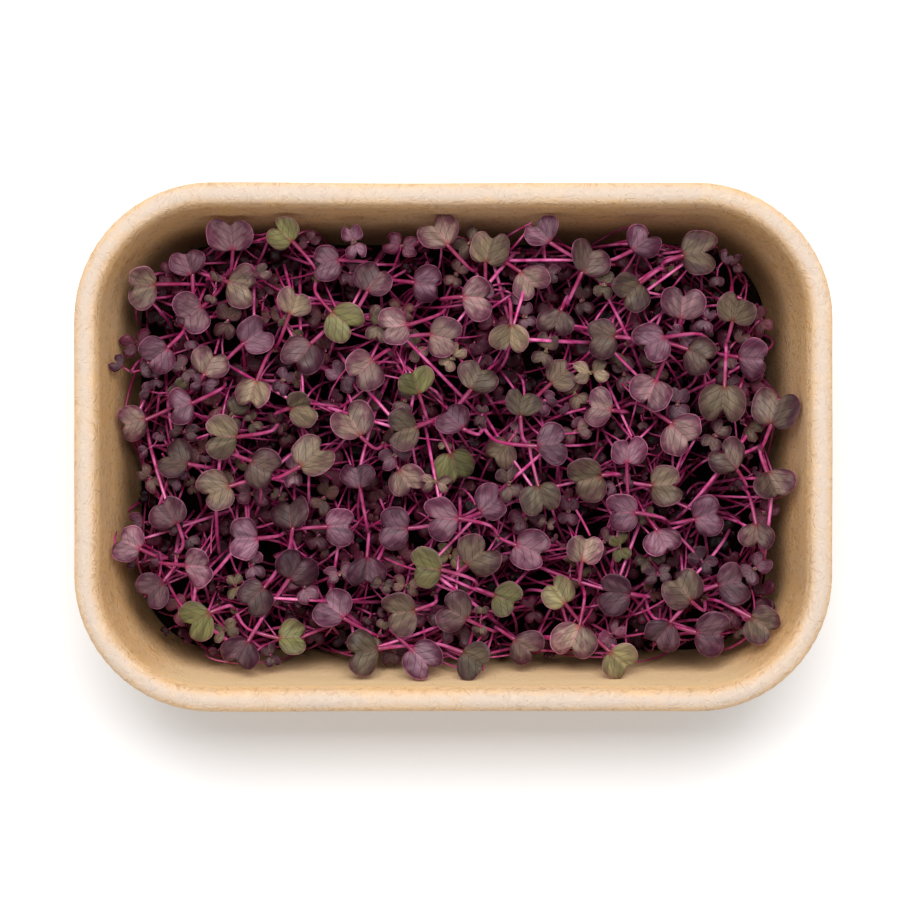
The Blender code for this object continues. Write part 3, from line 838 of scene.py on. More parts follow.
def smooth_path(points, steps):
    """A curve through all the points, with even steps between each two of them."""
    path = []
    last = len(points) - 1
    for index in range(last):
        before = points[max(index - 1, 0)]
        start, end = points[index], points[index + 1]
        after = points[min(index + 2, last)]
        for step in range(steps):
            t = step / steps
            path.append(
                0.5 * (2 * start + (end - before) * t + (2 * before - 5 * start + 4 * end - after) * t**2
                       + (3 * start - before - 3 * end + after) * t**3)
            )
    path.append(points[-1])
    return path


def even_path(points, count):
    """Points at even distances along a fine path."""
    lengths = [0.0]
    for start, end in zip(points, points[1:]):
        lengths.append(lengths[-1] + (end - start).length)
    found = []
    segment = 0
    for step in range(count + 1):
        wanted = lengths[-1] * step / count
        while segment < len(points) - 2 and lengths[segment + 1] < wanted:
            segment += 1
        span = lengths[segment + 1] - lengths[segment]
        share = (wanted - lengths[segment]) / span if span > 0 else 0.0
        found.append(points[segment].lerp(points[segment + 1], share))
    return found


def eased(values, steps):
    """The values with even steps between each two of them."""
    found = []
    for start, end in zip(values, values[1:]):
        found += [start + (end - start) * step / steps for step in range(steps)]
    return found + [values[-1]]


class Growth:
    """Points and faces of many leaves and stems, with what their materials read."""

    def __init__(self):
        self.points = []
        self.faces = []
        self.is_stem = []
        self.blade_at = []
        self.look = []

    def add_point(self, point, blade_at, look):
        self.points.append(point)
        self.blade_at.append(blade_at)
        self.look.append(look)
        return len(self.points) - 1

    def add_face(self, corners, is_stem):
        kept = [corner for index, corner in enumerate(corners) if corner != corners[index - 1]]
        if len(kept) > 2:
            self.faces.append(kept)
            self.is_stem.append(is_stem)

    def add_stem(self, path, radii, sides, look, along=(0.0, 1.0)):
        """A round stem along a path, closed at both ends."""
        reference = Vector((0.31, 0.95, 0.05)).normalized()
        rings = []
        across = None
        for index, point in enumerate(path):
            ahead = (path[min(index + 1, len(path) - 1)] - path[max(index - 1, 0)]).normalized()
            across = (across or reference.cross(ahead)).normalized()
            across = (across - ahead * across.dot(ahead)).normalized()
            upward = ahead.cross(across)
            share = index / (len(path) - 1)
            ring = []
            for side in range(sides):
                angle = 2 * math.pi * side / sides
                radius = radii[index] * (1.0 + 0.10 * math.cos(2 * angle + 4 * share))
                place = point + radius * (math.cos(angle) * across + math.sin(angle) * upward)
                at = (side / sides, along[0] + (along[1] - along[0]) * share, 0.0)
                ring.append(self.add_point(place, at, look))
            rings.append(ring)
        self.add_face(rings[0][::-1], True)
        for ring, following in zip(rings, rings[1:]):
            for side in range(sides):
                after = (side + 1) % sides
                self.add_face([ring[side], ring[after], following[after], following[side]], True)
        self.add_face(rings[-1], True)

    def add_blade(self, shape, steps_out, thickness, look):
        """A seed leaf: two lobes from the rib to the margin, top and bottom, with a rounded edge."""
        rows = len(shape["edge"][1]) - 1

        def key(lobe, row, step):
            """One key for each point of a layer: the lobes share the rib, and each end is one point."""
            if row in (0, rows):
                return (row,)
            return (lobe, row, step) if step else (row, 0)

        layers = []
        for layer in (1, -1):
            grid = {}
            for lobe, row, step in product((1, -1), range(rows + 1), range(steps_out + 1)):
                if key(lobe, row, step) in grid:
                    continue
                share = step / steps_out
                rib = Vector((0.0, shape["notch"] * row / rows))
                flat = rib.lerp(shape["edge"][lobe][row].xy, share)
                flat.x *= lobe
                local = Vector((*flat, blade_height(shape, flat, share, lobe))) * shape["width"]
                local.z += layer * (1 - EDGE_TAPER * share**3) * thickness / 2
                blade_at = (*flat, layer * share)
                grid[key(lobe, row, step)] = self.add_point(shape["place"] @ local, blade_at, look)
            layers.append(grid)
        top, bottom = layers
        for lobe, row in product((1, -1), range(rows)):
            for step in range(steps_out):
                corners = ((row, step), (row, step + 1), (row + 1, step + 1), (row + 1, step))
                keys = [key(lobe, *corner) for corner in corners][::lobe]
                self.add_face([top[corner] for corner in keys], False)
                self.add_face([bottom[corner] for corner in reversed(keys)], False)
            first, last = [key(lobe, row, steps_out), key(lobe, row + 1, steps_out)][::lobe]
            self.add_face([bottom[first], bottom[last], top[last], top[first]], False)

    def make_object(self, name):
        """The growth as one object with its two materials and the attributes that they read."""
        thing = add_mesh(name, self.points, self.faces, materials=(leaf_material(), stem_material()))
        set_points(thing, "blade_at", "FLOAT_VECTOR", self.blade_at)
        set_points(thing, "look", "FLOAT_VECTOR", self.look)
        thing.data.polygons.foreach_set("material_index", [int(stem) for stem in self.is_stem])
        part = thing.data.attributes.new("stem_part", "FLOAT", "FACE")
        part.data.foreach_set("value", [float(stem) for stem in self.is_stem])
        thing.data.update()
        return thing


# Stalk under its leaf as (how far along the rib, drop in stalk radii), and its widths from node to tip
STALK_UNDER_LEAF = ((-0.03, 0.8), (0.08, 1.5), (0.34, 1.0))
STALK_WIDTHS = (1.05, 0.80, 1.10, 0.80, 0.15)

# Side veins leave the rib at a slant and curve forward, in shares of the leaf's width
VEIN_SLANT = 0.95
VEIN_CURVE = 0.75
VEIN_STEP = 0.19
VEIN_SHIFT = 0.09
VEIN_DEPTH = 0.003

# Relief and margin of a blade, in shares of the leaf's width
EDGE_TAPER = 0.72
CREASE_WIDTH = 0.060
FOLD_WIDTH = 0.03
BULGE = 0.022
MARGIN_WAVES = 0.07
MARGIN_WAVE_SCALE = 3.4

# Rows along a lobe, steps across it and share of the full thickness, from small to large leaves
BLADE_ROWS = (6, 9, 18)
BLADE_STEPS = (2, 3, 6)
BLADE_THICKNESSES = (0.5, 0.8, 1.0)

# One side's edge from the base to the tip notch
LOBE_EDGE = (
    (0.0, 0.0), (0.055, -0.012), (0.19, -0.035), (0.36, 0.025), (0.47, 0.16), (0.50, 0.33),
    (0.465, 0.50), (0.36, 0.625), (0.22, 0.665), (0.10, 0.625), (0.03, 0.55), (0.0, 0.50),
)
YOUNG_EDGE = (
    (0.0, 0.0), (0.07, -0.01), (0.28, -0.01), (0.45, 0.10), (0.50, 0.30),
    (0.45, 0.52), (0.30, 0.66), (0.14, 0.62), (0.04, 0.48), (0.0, 0.42),
)


def lobe_margin(draw, edge, rows, notch, wedge):
    """One lobe's margin from the leaf's base to its tip notch, with a size and waves of its own."""
    spread = draw.uniform(0.88, 1.05)
    reach = draw.uniform(0.88, 1.10)
    start = Vector((draw.uniform(0, 50), draw.uniform(0, 50), 0))
    control = []
    for across, along in edge:
        along += wedge * across * max(0.0, 1 - along / 0.4)
        if across == 0.0 and along > 0:
            along = notch
        out = min(1.0, across / 0.2)
        control.append(Vector((across * spread, along * (1 + (reach - 1) * out), 0)))
    margin = even_path(smooth_path(control, 6), rows)
    wavy = []
    for point in margin:
        sway = 1 + MARGIN_WAVES * noise.noise(start + point * MARGIN_WAVE_SCALE) * min(1.0, point.x / 0.15)
        wavy.append(Vector((point.x * sway, point.y * sway, 0)))
    return wavy


def blade_shape(leaf, draw, edge, rows, luck):
    """A leaf's own outline and relief, drawn a little differently for each leaf."""
    notch = edge[-1][1] * draw.uniform(0.84, 1.14)
    wedge = draw.uniform(-0.12, 0.34)
    return {
        "place": leaf["place"],
        "width": leaf["width"],
        "edge": {lobe: lobe_margin(draw, edge, rows, notch, wedge) for lobe in (1, -1)},
        "notch": notch,
        "cup": leaf["cup"],
        "droop": {lobe: draw.uniform(-0.12, 0.07) for lobe in (1, -1)},
        "fold": {lobe: draw.uniform(-0.04, 0.22) for lobe in (1, -1)},
        "curl": draw.uniform(-0.060, 0.045),
        "bow": draw.uniform(-0.12, 0.04),
        "crease": draw.uniform(0.006, 0.022),
        "ruffle": draw.uniform(0.3, 1.2),
        "waves": draw.uniform(2.0, 3.6),
        "phase": {lobe: draw.uniform(0, 2 * math.pi) for lobe in (1, -1)},
        "luck": luck,
    }


def blade_height(shape, flat, share, lobe):
    """Height of the blade over its own plane, as a share of the width."""
    look = bpy.context.scene.microgreens_leaf
    across, along = flat.x, flat.y
    height = shape["cup"] * (2 * across) ** 2
    height += shape["droop"][lobe] * share**2
    height += shape["fold"][lobe] * (math.hypot(across, FOLD_WIDTH) - FOLD_WIDTH)
    height += shape["crease"] * (1 - math.exp(-((across / CREASE_WIDTH) ** 2)))
    height += BULGE * share * (1 - share) * 4
    height += shape["curl"] * share**4
    height += shape["bow"] * (along - 0.25) ** 2 * 2
    turn = math.atan2(along - 0.3, abs(across) + 0.02)
    wave = math.sin(shape["waves"] * turn + shape["phase"][lobe])
    height += look.ruffle * shape["ruffle"] * share**2 * wave
    level = along - VEIN_SLANT * abs(across) + VEIN_CURVE * across**2 + VEIN_SHIFT * shape["luck"]
    groove = math.cos(2 * math.pi * level / VEIN_STEP)
    return height - VEIN_DEPTH * groove * share * (1 - share) * 4


def seed_leaf(growth, leaf, draw, look, fine):
    """One seed leaf: fine is 0 for the fewest faces and 2 for the most."""
    edge = LOBE_EDGE if fine == 2 else YOUNG_EDGE
    shape = blade_shape(leaf, draw, edge, BLADE_ROWS[fine], look[2])
    thickness = bpy.context.scene.microgreens_leaf.thickness * BLADE_THICKNESSES[fine]
    growth.add_blade(shape, BLADE_STEPS[fine], thickness, look)
    return shape


def rib_point(shape, along, drop):
    """A point under a leaf's rib."""
    height = blade_height(shape, Vector((0.0, along)), 0.0, 1)
    return shape["place"] @ (Vector((0.0, along, height)) * shape["width"] - Vector((0, 0, drop)))


def true_leaf_bud(growth, draw, node, size, hue):
    """Two or three tiny folded true leaves that start between the stalks."""
    for _ in range(draw.choice((2, 2, 3))):
        heading = draw.uniform(0, 2 * math.pi)
        centre = node + Vector((math.cos(heading), math.sin(heading), 0)) * size * 0.35
        centre.z += size * draw.uniform(0.2, 0.6)
        width = size * draw.uniform(0.7, 1.1)
        place = leaf_place(centre, heading, draw.uniform(0.3, 0.9), draw.uniform(-0.5, 0.5), width)
        leaf = {"place": place, "width": width, "cup": draw.uniform(0.2, 0.5)}
        look = (min(1.0, hue + draw.uniform(0.0, 0.5)), draw.uniform(0.3, 1.0), 1.0)
        seed_leaf(growth, leaf, draw, look, 0)


# Young and grown seedlings: steps of their paths, sides of their stems and stalks, and size of their buds
PATH_STEPS = (5, 4)
STEM_ROUND = (6, 8)
STALK_ROUND = (5, 7)
STALK_RADII = (0.8 * YOUNG_STEM_RADIUS, PETIOLE_RADIUS)
BUD_SIZES = (0.0011, 0.0016)
BUD_RISE = 0.0004
STEM_NARROWING = 0.18
TONE_SPREAD = 0.12

# How far along a seedling its stem and its stalks run, which their colour reads
STEM_SPAN = (0.0, 0.8)
STALK_SPAN = (0.8, 1.15)


def fine_seedling(growth, seedling, draw, hue, tone):
    """A seedling as its solid has it, with round stems and full leaves."""
    look = (hue, tone, draw.random())
    grown = seedling["grown"]
    radius = STEM_RADIUS if grown else YOUNG_STEM_RADIUS
    path = smooth_path(seedling["stem"], PATH_STEPS[grown])
    radii = [radius * (1.0 - STEM_NARROWING * index / len(path)) for index in range(len(path))]
    growth.add_stem(path, radii, STEM_ROUND[grown], look, STEM_SPAN)
    node = path[-1]
    for index, leaf in enumerate(seedling["leaves"]):
        own_look = (hue, tone + draw.uniform(-TONE_SPREAD, TONE_SPREAD), look[2])
        shape = seed_leaf(growth, leaf, draw, own_look, 2 if grown else 1)
        width = STALK_RADII[grown]
        points = [node - Vector((0, 0, width))]
        if grown:
            points.append(seedling["stalk"][1 if index == 0 else 3])
        points += [rib_point(shape, along, drop * width) for along, drop in STALK_UNDER_LEAF]
        stalk = smooth_path(points, 4)
        radii = eased([width * share for share in STALK_WIDTHS[-len(points):]], 4)
        growth.add_stem(stalk, radii, STALK_ROUND[grown], look, STALK_SPAN)
    true_leaf_bud(growth, draw, node + Vector((0, 0, BUD_RISE)), BUD_SIZES[grown], hue)


# Chances as (at the wall, more in the tray's middle), and the hues to draw from
GREEN_CHANCE = (0.07, 0.18)
OLIVE_CHANCE = (0.36, 0.62)
GREEN_HUES = (0.75, 1.0)
OLIVE_HUES = (0.25, 0.6)
PURPLE_HUES = (0.0, 0.22)


def seedling_hue(place, draw):
    """0 for purple, 0.5 for olive and 1 for green, greener towards the middle of the tray."""
    middle = 1 - min(1, math.hypot(2 * place.x / TRAY_LENGTH, 2 * place.y / TRAY_WIDTH))
    luck = draw.random()
    for (at_wall, more), hues in ((GREEN_CHANCE, GREEN_HUES), (OLIVE_CHANCE, OLIVE_HUES)):
        if luck < at_wall + more * middle:
            return draw.uniform(*hues)
    return draw.uniform(*PURPLE_HUES)


# Materials: the colours that they mix into the user's
DARK_FIBRE = (0.36, 0.185, 0.070)
LIT_FIBRE = (0.84, 0.67, 0.48)
SPECK = (0.16, 0.07, 0.025)
LIT_WALL_BOARD = (0.96, 0.70, 0.40)
SHADED_WALL_BOARD = (0.10, 0.045, 0.014)
# Coir colours, near black, partly as painted shade
DARK_COIR = (0.0020, 0.0008, 0.0006)
LIGHT_COIR = (0.0050, 0.0020, 0.0014)
COIR_FIBRE = (0.011, 0.005, 0.003)
VEIN_COLOUR = (0.036, 0.007, 0.016)
RIB_COLOUR = (0.28, 0.07, 0.11)
PURPLE_BASE = (0.15, 0.008, 0.036)
OLIVE_BASE = (0.125, 0.028, 0.018)
UNDERSIDE = (0.20, 0.03, 0.09)
SHADED_LEAF = (0.150, 0.010, 0.040)
DEEP_STEM = (0.24, 0.006, 0.045)
PURPLE_STALK = (0.17, 0.005, 0.045)
SHADED_STEM = (0.140, 0.001, 0.028)

# Heights between which leaves and stems go from shaded to lit
SHADE_HEIGHTS = (0.0235, 0.0395)

# Where the tray's board changes, as distances in from its outermost point, heights, or places along Y
# The rim's two spans place its painted highlight
RIM_OUTER = (0.0, 0.0020)
RIM_INNER = (0.0028, 0.0060)
INNER_WALL = (0.0050, 0.0062)
# Heights of the inner wall's painted shade
WALL_SHADE_HEIGHTS = (0.0190, 0.0340)
# Places along Y of the inner wall's painted light
PAINTED_LIGHT_SPAN = (-0.0540, -0.0470)


class Value:
    """A number that a socket gives, so that sums in a node tree are written as sums."""

    def __init__(self, wires, socket):
        self.wires = wires
        self.socket = socket

    def __add__(self, other):
        return self.wires.math("ADD", self, other)

    def __sub__(self, other):
        return self.wires.math("SUBTRACT", self, other)

    def __rsub__(self, other):
        return self.wires.math("SUBTRACT", other, self)

    def __mul__(self, other):
        return self.wires.math("MULTIPLY", self, other)

    def __truediv__(self, other):
        return self.wires.math("DIVIDE", self, other)

    def __abs__(self):
        return self.wires.math("ABSOLUTE", self)

    __radd__ = __add__
    __rmul__ = __mul__


def typed(sockets, name, kind):
    """The socket of that name and kind, where a node has several of one name."""
    return next(socket for socket in sockets if socket.name == name and socket.type == kind)


class Wiring:
    """Short calls for adding nodes and links to one tree."""

    socket_kinds = {"FLOAT": "VALUE", "INT": "INT", "FLOAT_VECTOR": "VECTOR"}

    def __init__(self, tree):
        self.tree = tree

    def put(self, value, socket):
        """Links a value to a socket, or sets the socket's own value."""
        if isinstance(value, Value):
            value = value.socket
        if isinstance(value, bpy.types.NodeSocket):
            self.tree.links.new(value, socket)
        elif socket.type == "RGBA":
            socket.default_value = (*value[:3], 1.0)
        else:
            socket.default_value = value

    def fill(self, node, inputs):
        for name, value in inputs.items():
            self.put(value, node.inputs[name])

    def node(self, kind, inputs=None, **settings):
        """A new node with its settings, and with its inputs by name or number."""
        made = self.tree.nodes.new(kind)
        for name, value in settings.items():
            setattr(made, name, value)
        self.fill(made, inputs or {})
        return made

    def math(self, operation, first, second=0.0, clamp=False):
        made = self.node("ShaderNodeMath", {0: first, 1: second}, operation=operation, use_clamp=clamp)
        return Value(self, made.outputs[0])

    def mix(self, share, first, second, blend="MIX"):
        made = self.node("ShaderNodeMix", {"Factor": share}, data_type="RGBA", blend_type=blend)
        self.put(first, typed(made.inputs, "A", "RGBA"))
        self.put(second, typed(made.inputs, "B", "RGBA"))
        return typed(made.outputs, "Result", "RGBA")

    def ramp(self, value, low, high, low_to=0.0, high_to=1.0):
        inputs = {"Value": value, "From Min": low, "From Max": high, "To Min": low_to, "To Max": high_to}
        made = self.node("ShaderNodeMapRange", inputs, interpolation_type="SMOOTHSTEP")
        return Value(self, made.outputs["Result"])

    def noise(self, vector, scale, detail=3.0, roughness=0.5, distortion=0.0):
        inputs = {"Vector": vector, "Scale": scale, "Detail": detail, "Roughness": roughness}
        made = self.node("ShaderNodeTexNoise", {**inputs, "Distortion": distortion})
        return Value(self, made.outputs["Fac"])

    def random(self, kind, low, high, seed):
        made = self.node("FunctionNodeRandomValue", {"Seed": seed}, data_type=kind)
        self.put(low, typed(made.inputs, "Min", self.socket_kinds[kind]))
        self.put(high, typed(made.inputs, "Max", self.socket_kinds[kind]))
        return typed(made.outputs, "Value", self.socket_kinds[kind])

    def named(self, name, kind):
        made = self.node("GeometryNodeInputNamedAttribute", {"Name": name}, data_type=kind)
        return typed(made.outputs, "Attribute", self.socket_kinds[kind])

    def split(self, vector):
        """The three numbers of a vector."""
        return [Value(self, socket) for socket in self.node("ShaderNodeSeparateXYZ", {0: vector}).outputs]

    def attribute(self, name):
        """The three numbers of a mesh attribute."""
        return self.split(self.node("ShaderNodeAttribute", attribute_name=name).outputs["Vector"])

    def object_place(self):
        return self.node("ShaderNodeTexCoord").outputs["Object"]

    def group(self, name, **inputs):
        """The numbers that a node group gives for these inputs."""
        made = self.node("ShaderNodeGroup", node_tree=bpy.data.node_groups[name])
        self.fill(made, inputs)
        return {socket.name: Value(self, socket) for socket in made.outputs}

    def bump(self, height, strength, distance):
        inputs = {"Strength": strength, "Distance": distance, "Height": height}
        return self.node("ShaderNodeBump", inputs).outputs["Normal"]


def new_material(name):
    """An empty node material, its wiring and its Principled shader."""
    old = bpy.data.materials.get(name)
    if old:
        bpy.data.materials.remove(old)
    material = bpy.data.materials.new(name)
    material.use_nodes = True
    return material, Wiring(material.node_tree), material.node_tree.nodes["Principled BSDF"]


def start_group(name, numbers, outputs):
    """A new shader node group of a vector and numbers: its wiring, its inputs and its outputs."""
    tree = bpy.data.node_groups.new(name, "ShaderNodeTree")
    tree.interface.new_socket("Vector", in_out="INPUT", socket_type="NodeSocketVector")
    for label, default in numbers.items():
        socket = tree.interface.new_socket(label, in_out="INPUT", socket_type="NodeSocketFloat")
        socket.default_value = default
    for label in outputs:
        tree.interface.new_socket(label, in_out="OUTPUT", socket_type="NodeSocketFloat")
    wires = Wiring(tree)
    given = {socket.name: Value(wires, socket) for socket in wires.node("NodeGroupInput").outputs}
    return wires, given, wires.node("NodeGroupOutput").inputs


# Lines in one swing of the fibres' noise
CONTOURS = 7.0


def make_fibre_group():
    """Curled fibres: short curved lines along the contours of a noise, broken up by a second one."""
    wires, given, result = start_group("Curled fibres", {"Scale": 300.0, "Width": 0.2}, ("Lines", "Mottle"))
    place, scale = given["Vector"], given["Scale"]
    wave = wires.math("PINGPONG", wires.noise(place, scale, 1.0, 0.5, 0.8) * CONTOURS, 0.5)
    lines = wires.math("SUBTRACT", 1.0, wave / given["Width"], clamp=True)
    breaks = wires.noise(place, scale * 2.3, 2.0)
    wires.put(lines * wires.ramp(breaks, 0.44, 0.56), result["Lines"])
    wires.put(wires.noise(place, scale * 0.22, 4.0, 0.6), result["Mottle"])


def make_mottle_group():
    """Soft patches and fine grain, for leaves, stems and coir."""
    wires, given, result = start_group("Living mottle", {"Scale": 500.0}, ("Patches", "Grain"))
    place, scale = given["Vector"], given["Scale"]
    wires.put(wires.ramp(wires.noise(place, scale, 3.0), 0.32, 0.68), result["Patches"])
    wires.put(wires.noise(place, scale * 7.0, 2.0), result["Grain"])


def make_shade_group():
    """How far up under the canopy a place is, as painted shade: stems and leaves lower down are painted
    darker.
    """
    wires, given, result = start_group("Painted canopy shade", {"Deepest": 0.15}, ("Light",))
    risen = wires.ramp(wires.split(given["Vector"])[2], *SHADE_HEIGHTS)
    wires.put(given["Deepest"] + risen * (1.0 - given["Deepest"]), result["Light"])


def make_kraft_material(look):
    material, wires, shader = new_material("Kraft fibre")
    place = wires.object_place()
    stretched = wires.node("ShaderNodeMapping", {"Vector": place, "Scale": (1.0, 1.0, 3.2)}).outputs[0]
    fibres = wires.group("Curled fibres", Vector=place, Scale=190.0, Width=0.26)
    fine_fibres = wires.group("Curled fibres", Vector=place, Scale=330.0, Width=0.34)
    streaks = wires.noise(stretched, 230.0, 5.0, 0.65)
    _, place_y, place_z = wires.split(place)
    inward = wires.attribute("inward")[0]
    # Painted highlight: the board is palest on the rim's crown and less pale down its inner slope and on the
    # walls, as the light falls off the roll
    pale_and_rim_highlight = wires.ramp(inward, *RIM_OUTER, 0.40, 1.0) * wires.ramp(inward, *RIM_INNER, 1.0, 0.18)
    share = wires.ramp(fibres["Mottle"], 0.3, 0.7) * 0.24 - 0.12 + pale_and_rim_highlight
    share = wires.math("SUBTRACT", share, wires.ramp(streaks, 0.50, 0.72) * 0.20, clamp=True)
    base = wires.mix(share, look.tan, look.pale)
    dark_share = fibres["Lines"] * wires.ramp(pale_and_rim_highlight, 0.4, 1.0, 0.42, 0.13)
    base = wires.mix(dark_share, base, DARK_FIBRE)
    lit_share = fine_fibres["Lines"] * wires.ramp(pale_and_rim_highlight, 0.4, 1.0, 0.42, 0.20)
    base = wires.mix(lit_share, base, LIT_FIBRE)
    specks = wires.ramp(wires.noise(place, 2300.0, 1.0), 0.70, 0.76)
    base = wires.mix(specks * 0.5, base, SPECK)
    # Painted light and shade on the inner wall: paler where the light falls on it, and darker down by the
    # seedlings, where the canopy shades it
    inside = wires.ramp(inward, *INNER_WALL)
    painted_wall_light = inside * wires.ramp(place_y, *PAINTED_LIGHT_SPAN, 0.90, 0.0)
    base = wires.mix(painted_wall_light, base, LIT_WALL_BOARD)
    # Painted shade: the inner wall darkens towards the seedlings
    painted_wall_shade = inside * wires.ramp(place_z, *WALL_SHADE_HEIGHTS, 1.0, 0.0)
    base = wires.mix(painted_wall_shade * 0.80, base, SHADED_WALL_BOARD)
    height = fine_fibres["Lines"] - fibres["Lines"] + streaks * 1.4
    wires.fill(shader, {
        "Base Color": base,
        "Roughness": wires.ramp(fibres["Mottle"], 0.2, 0.8, 0.72, 0.92),
        "Normal": wires.bump(height, 0.8, 0.00007),
        "Specular IOR Level": 0.3,
    })
    return material


def make_coir_material():
    material, wires, shader = new_material("Damp coir with painted shade")
    # The coir is darker than damp coir, near black, partly as painted shade in the gaps between the seedlings
    place = wires.object_place()
    mottle = wires.group("Living mottle", Vector=place, Scale=420.0)
    fibres = wires.group("Curled fibres", Vector=place, Scale=280.0, Width=0.2)
    base = wires.mix(mottle["Patches"], DARK_COIR, LIGHT_COIR)
    wires.fill(shader, {
        "Base Color": wires.mix(fibres["Lines"] * 0.5, base, COIR_FIBRE),
        "Roughness": wires.ramp(mottle["Grain"], 0.3, 0.7, 0.85, 1.0),
        "Normal": wires.bump(mottle["Grain"], 0.8, 0.0004),
        "Specular IOR Level": 0.03,
    })
    return material


def make_leaf_material(look):
    material, wires, shader = new_material("Seed leaf")
    across, along, edge = wires.attribute("blade_at")
    hue, tone, luck = wires.attribute("look")
    place = wires.object_place()
    mottle = wires.group("Living mottle", Vector=place, Scale=330.0)
    out = abs(across)
    outward = abs(edge)
    # Middle of the blade by kind of leaf, and purple towards the margin
    base = wires.mix(wires.ramp(hue, 0.05, 0.5), look.purple, look.olive)
    base = wires.mix(wires.ramp(hue, 0.5, 0.95), base, look.green)
    patchy = outward + (mottle["Patches"] - 0.5) * 0.5
    to_outer = wires.ramp(patchy, 0.25, 1.00) * wires.ramp(hue, 0.2, 0.8, 0.88, 0.26)
    base = wires.mix(to_outer, base, look.outer)
    # Streaks fan out from the leaf's base: partly the blade's own pattern, partly painted highlight where they
    # lighten it
    turn = wires.math("ARCTAN2", across, along + 0.12)
    fan = wires.node("ShaderNodeCombineXYZ", {0: turn * 6.0, 1: along * 1.6, 2: luck * 30.0}).outputs[0]
    streaks = wires.ramp(wires.noise(fan, 1.0, 4.0, 0.6), 0.36, 0.66)
    # Painted shade: one lobe is a little darker than the other, as though light fell across the fold at the
    # rib
    side = wires.ramp(across, -0.03, 0.03, -0.5, 0.5) * (luck - 0.5)
    light = (0.77 + streaks * 0.64) * (1.0 + side)
    # Side veins leave the rib at a slant and curve forward
    level = along - out * VEIN_SLANT + out * out * VEIN_CURVE
    wave = wires.math("PINGPONG", level + luck * VEIN_SHIFT, VEIN_STEP / 2)
    vein = wires.ramp(wave, 0.0, 0.012, 1.0, 0.0) * wires.ramp(out, 0.22, 0.44, 1.0, 0.0)
    rib = wires.ramp(out, 0.003, 0.014, 1.0, 0.0) * wires.ramp(along, 0.15, 0.5, 1.0, 0.35)
    base = wires.mix(vein * 0.75, base, VEIN_COLOUR)
    base = wires.mix(rib * wires.ramp(luck, 0.2, 0.9, 0.25, 0.75), base, RIB_COLOUR)
    # The stalk's colour runs into the blade, and a thin lit line follows the margin
    reach = wires.math("SQRT", out * out + along * along)
    stalk_colour = wires.mix(wires.ramp(hue, 0.1, 0.5), PURPLE_BASE, OLIVE_BASE)
    base = wires.mix(wires.ramp(reach, 0.02, 0.16, 1.0, 0.0) * 0.8, base, stalk_colour)
    base = wires.mix(wires.ramp(outward, 0.94, 1.0) * 0.62, base, look.margin)
    under = wires.ramp(edge, -0.02, 0.0, 1.0, 0.0)
    base = wires.mix(under * 0.7, base, UNDERSIDE)
    # Painted shade: leaves low under the canopy are darkened and turned towards a dark crimson
    shade = wires.group("Painted canopy shade", Vector=place, Deepest=0.08)["Light"]
    base = wires.mix(wires.ramp(shade, 0.10, 0.95), SHADED_LEAF, base)
    # The blade's brightness is its random tone times the painted canopy shade, the streaks and the painted
    # lobe shade
    dark = (0.56 + tone * 1.05) * shade * light
    grey = wires.node("ShaderNodeCombineColor", {0: dark, 1: dark, 2: dark}).outputs[0]
    relief = streaks * 0.5 - vein + mottle["Grain"] * 0.4
    wires.fill(shader, {
        "Base Color": wires.mix(1.0, base, grey, blend="MULTIPLY"),
        "Roughness": wires.ramp(mottle["Patches"], 0.0, 1.0, 0.38, 0.52),
        "Normal": wires.bump(relief, 0.5, 0.00010),
        "Specular IOR Level": 0.14,
    })
    return material


def make_stem_material(look):
    material, wires, shader = new_material("Magenta stem")
    along = wires.attribute("blade_at")[1]
    hue, tone, _ = wires.attribute("look")
    place = wires.object_place()
    mottle = wires.group("Living mottle", Vector=place, Scale=380.0)
    # The rosy streaks are partly the stems' own colour and partly painted highlight
    base = wires.mix(mottle["Patches"] * 0.75, look.magenta, look.rosy)
    base = wires.mix(wires.ramp(tone, 0.3, 1.0, 0.0, 0.45), base, DEEP_STEM)
    stalk_end = wires.mix(wires.ramp(hue, 0.1, 0.5), PURPLE_STALK, look.rust)
    base = wires.mix(wires.ramp(along, 0.86, 0.985) * 0.85, base, stalk_end)
    # Painted shade: stems low under the canopy are mixed towards a dark shaded crimson
    shade = wires.group("Painted canopy shade", Vector=place, Deepest=0.30)["Light"]
    wires.fill(shader, {
        "Base Color": wires.mix(shade, SHADED_STEM, base),
        "Roughness": wires.ramp(mottle["Grain"], 0.2, 0.8, 0.30, 0.45),
        "Normal": wires.bump(mottle["Grain"], 0.25, 0.00006),
        "Coat Weight": 0.06,
    })
    return material


# Geometry Nodes for what repeats


def start_tree(name, inputs):
    """A new geometry tree with named inputs, its wiring and the inputs' sockets."""
    tree = bpy.data.node_groups.new(name, "GeometryNodeTree")
    tree.is_modifier = True
    for label, kind in {"Geometry": "Geometry", **inputs}.items():
        tree.interface.new_socket(label, in_out="INPUT", socket_type=f"NodeSocket{kind}")
    tree.interface.new_socket("Geometry", in_out="OUTPUT", socket_type="NodeSocketGeometry")
    wires = Wiring(tree)
    return wires, wires.node("NodeGroupInput").outputs


def finish_tree(wires, shape, material, stem_material=None):
    """Ends a tree: one real mesh with its material, and the stems' material on their faces."""
    shape = wires.node("GeometryNodeRealizeInstances", {0: shape}).outputs[0]
    shape = wires.node("GeometryNodeSetMaterial", {"Geometry": shape, "Material": material}).outputs[0]
    if stem_material is not None:
        stems = wires.named("stem_part", "FLOAT")
        inputs = {"Geometry": shape, "Selection": stems, "Material": stem_material}
        shape = wires.node("GeometryNodeSetMaterial", inputs).outputs[0]
    wires.node("NodeGroupOutput", {0: shape})
    return wires.tree


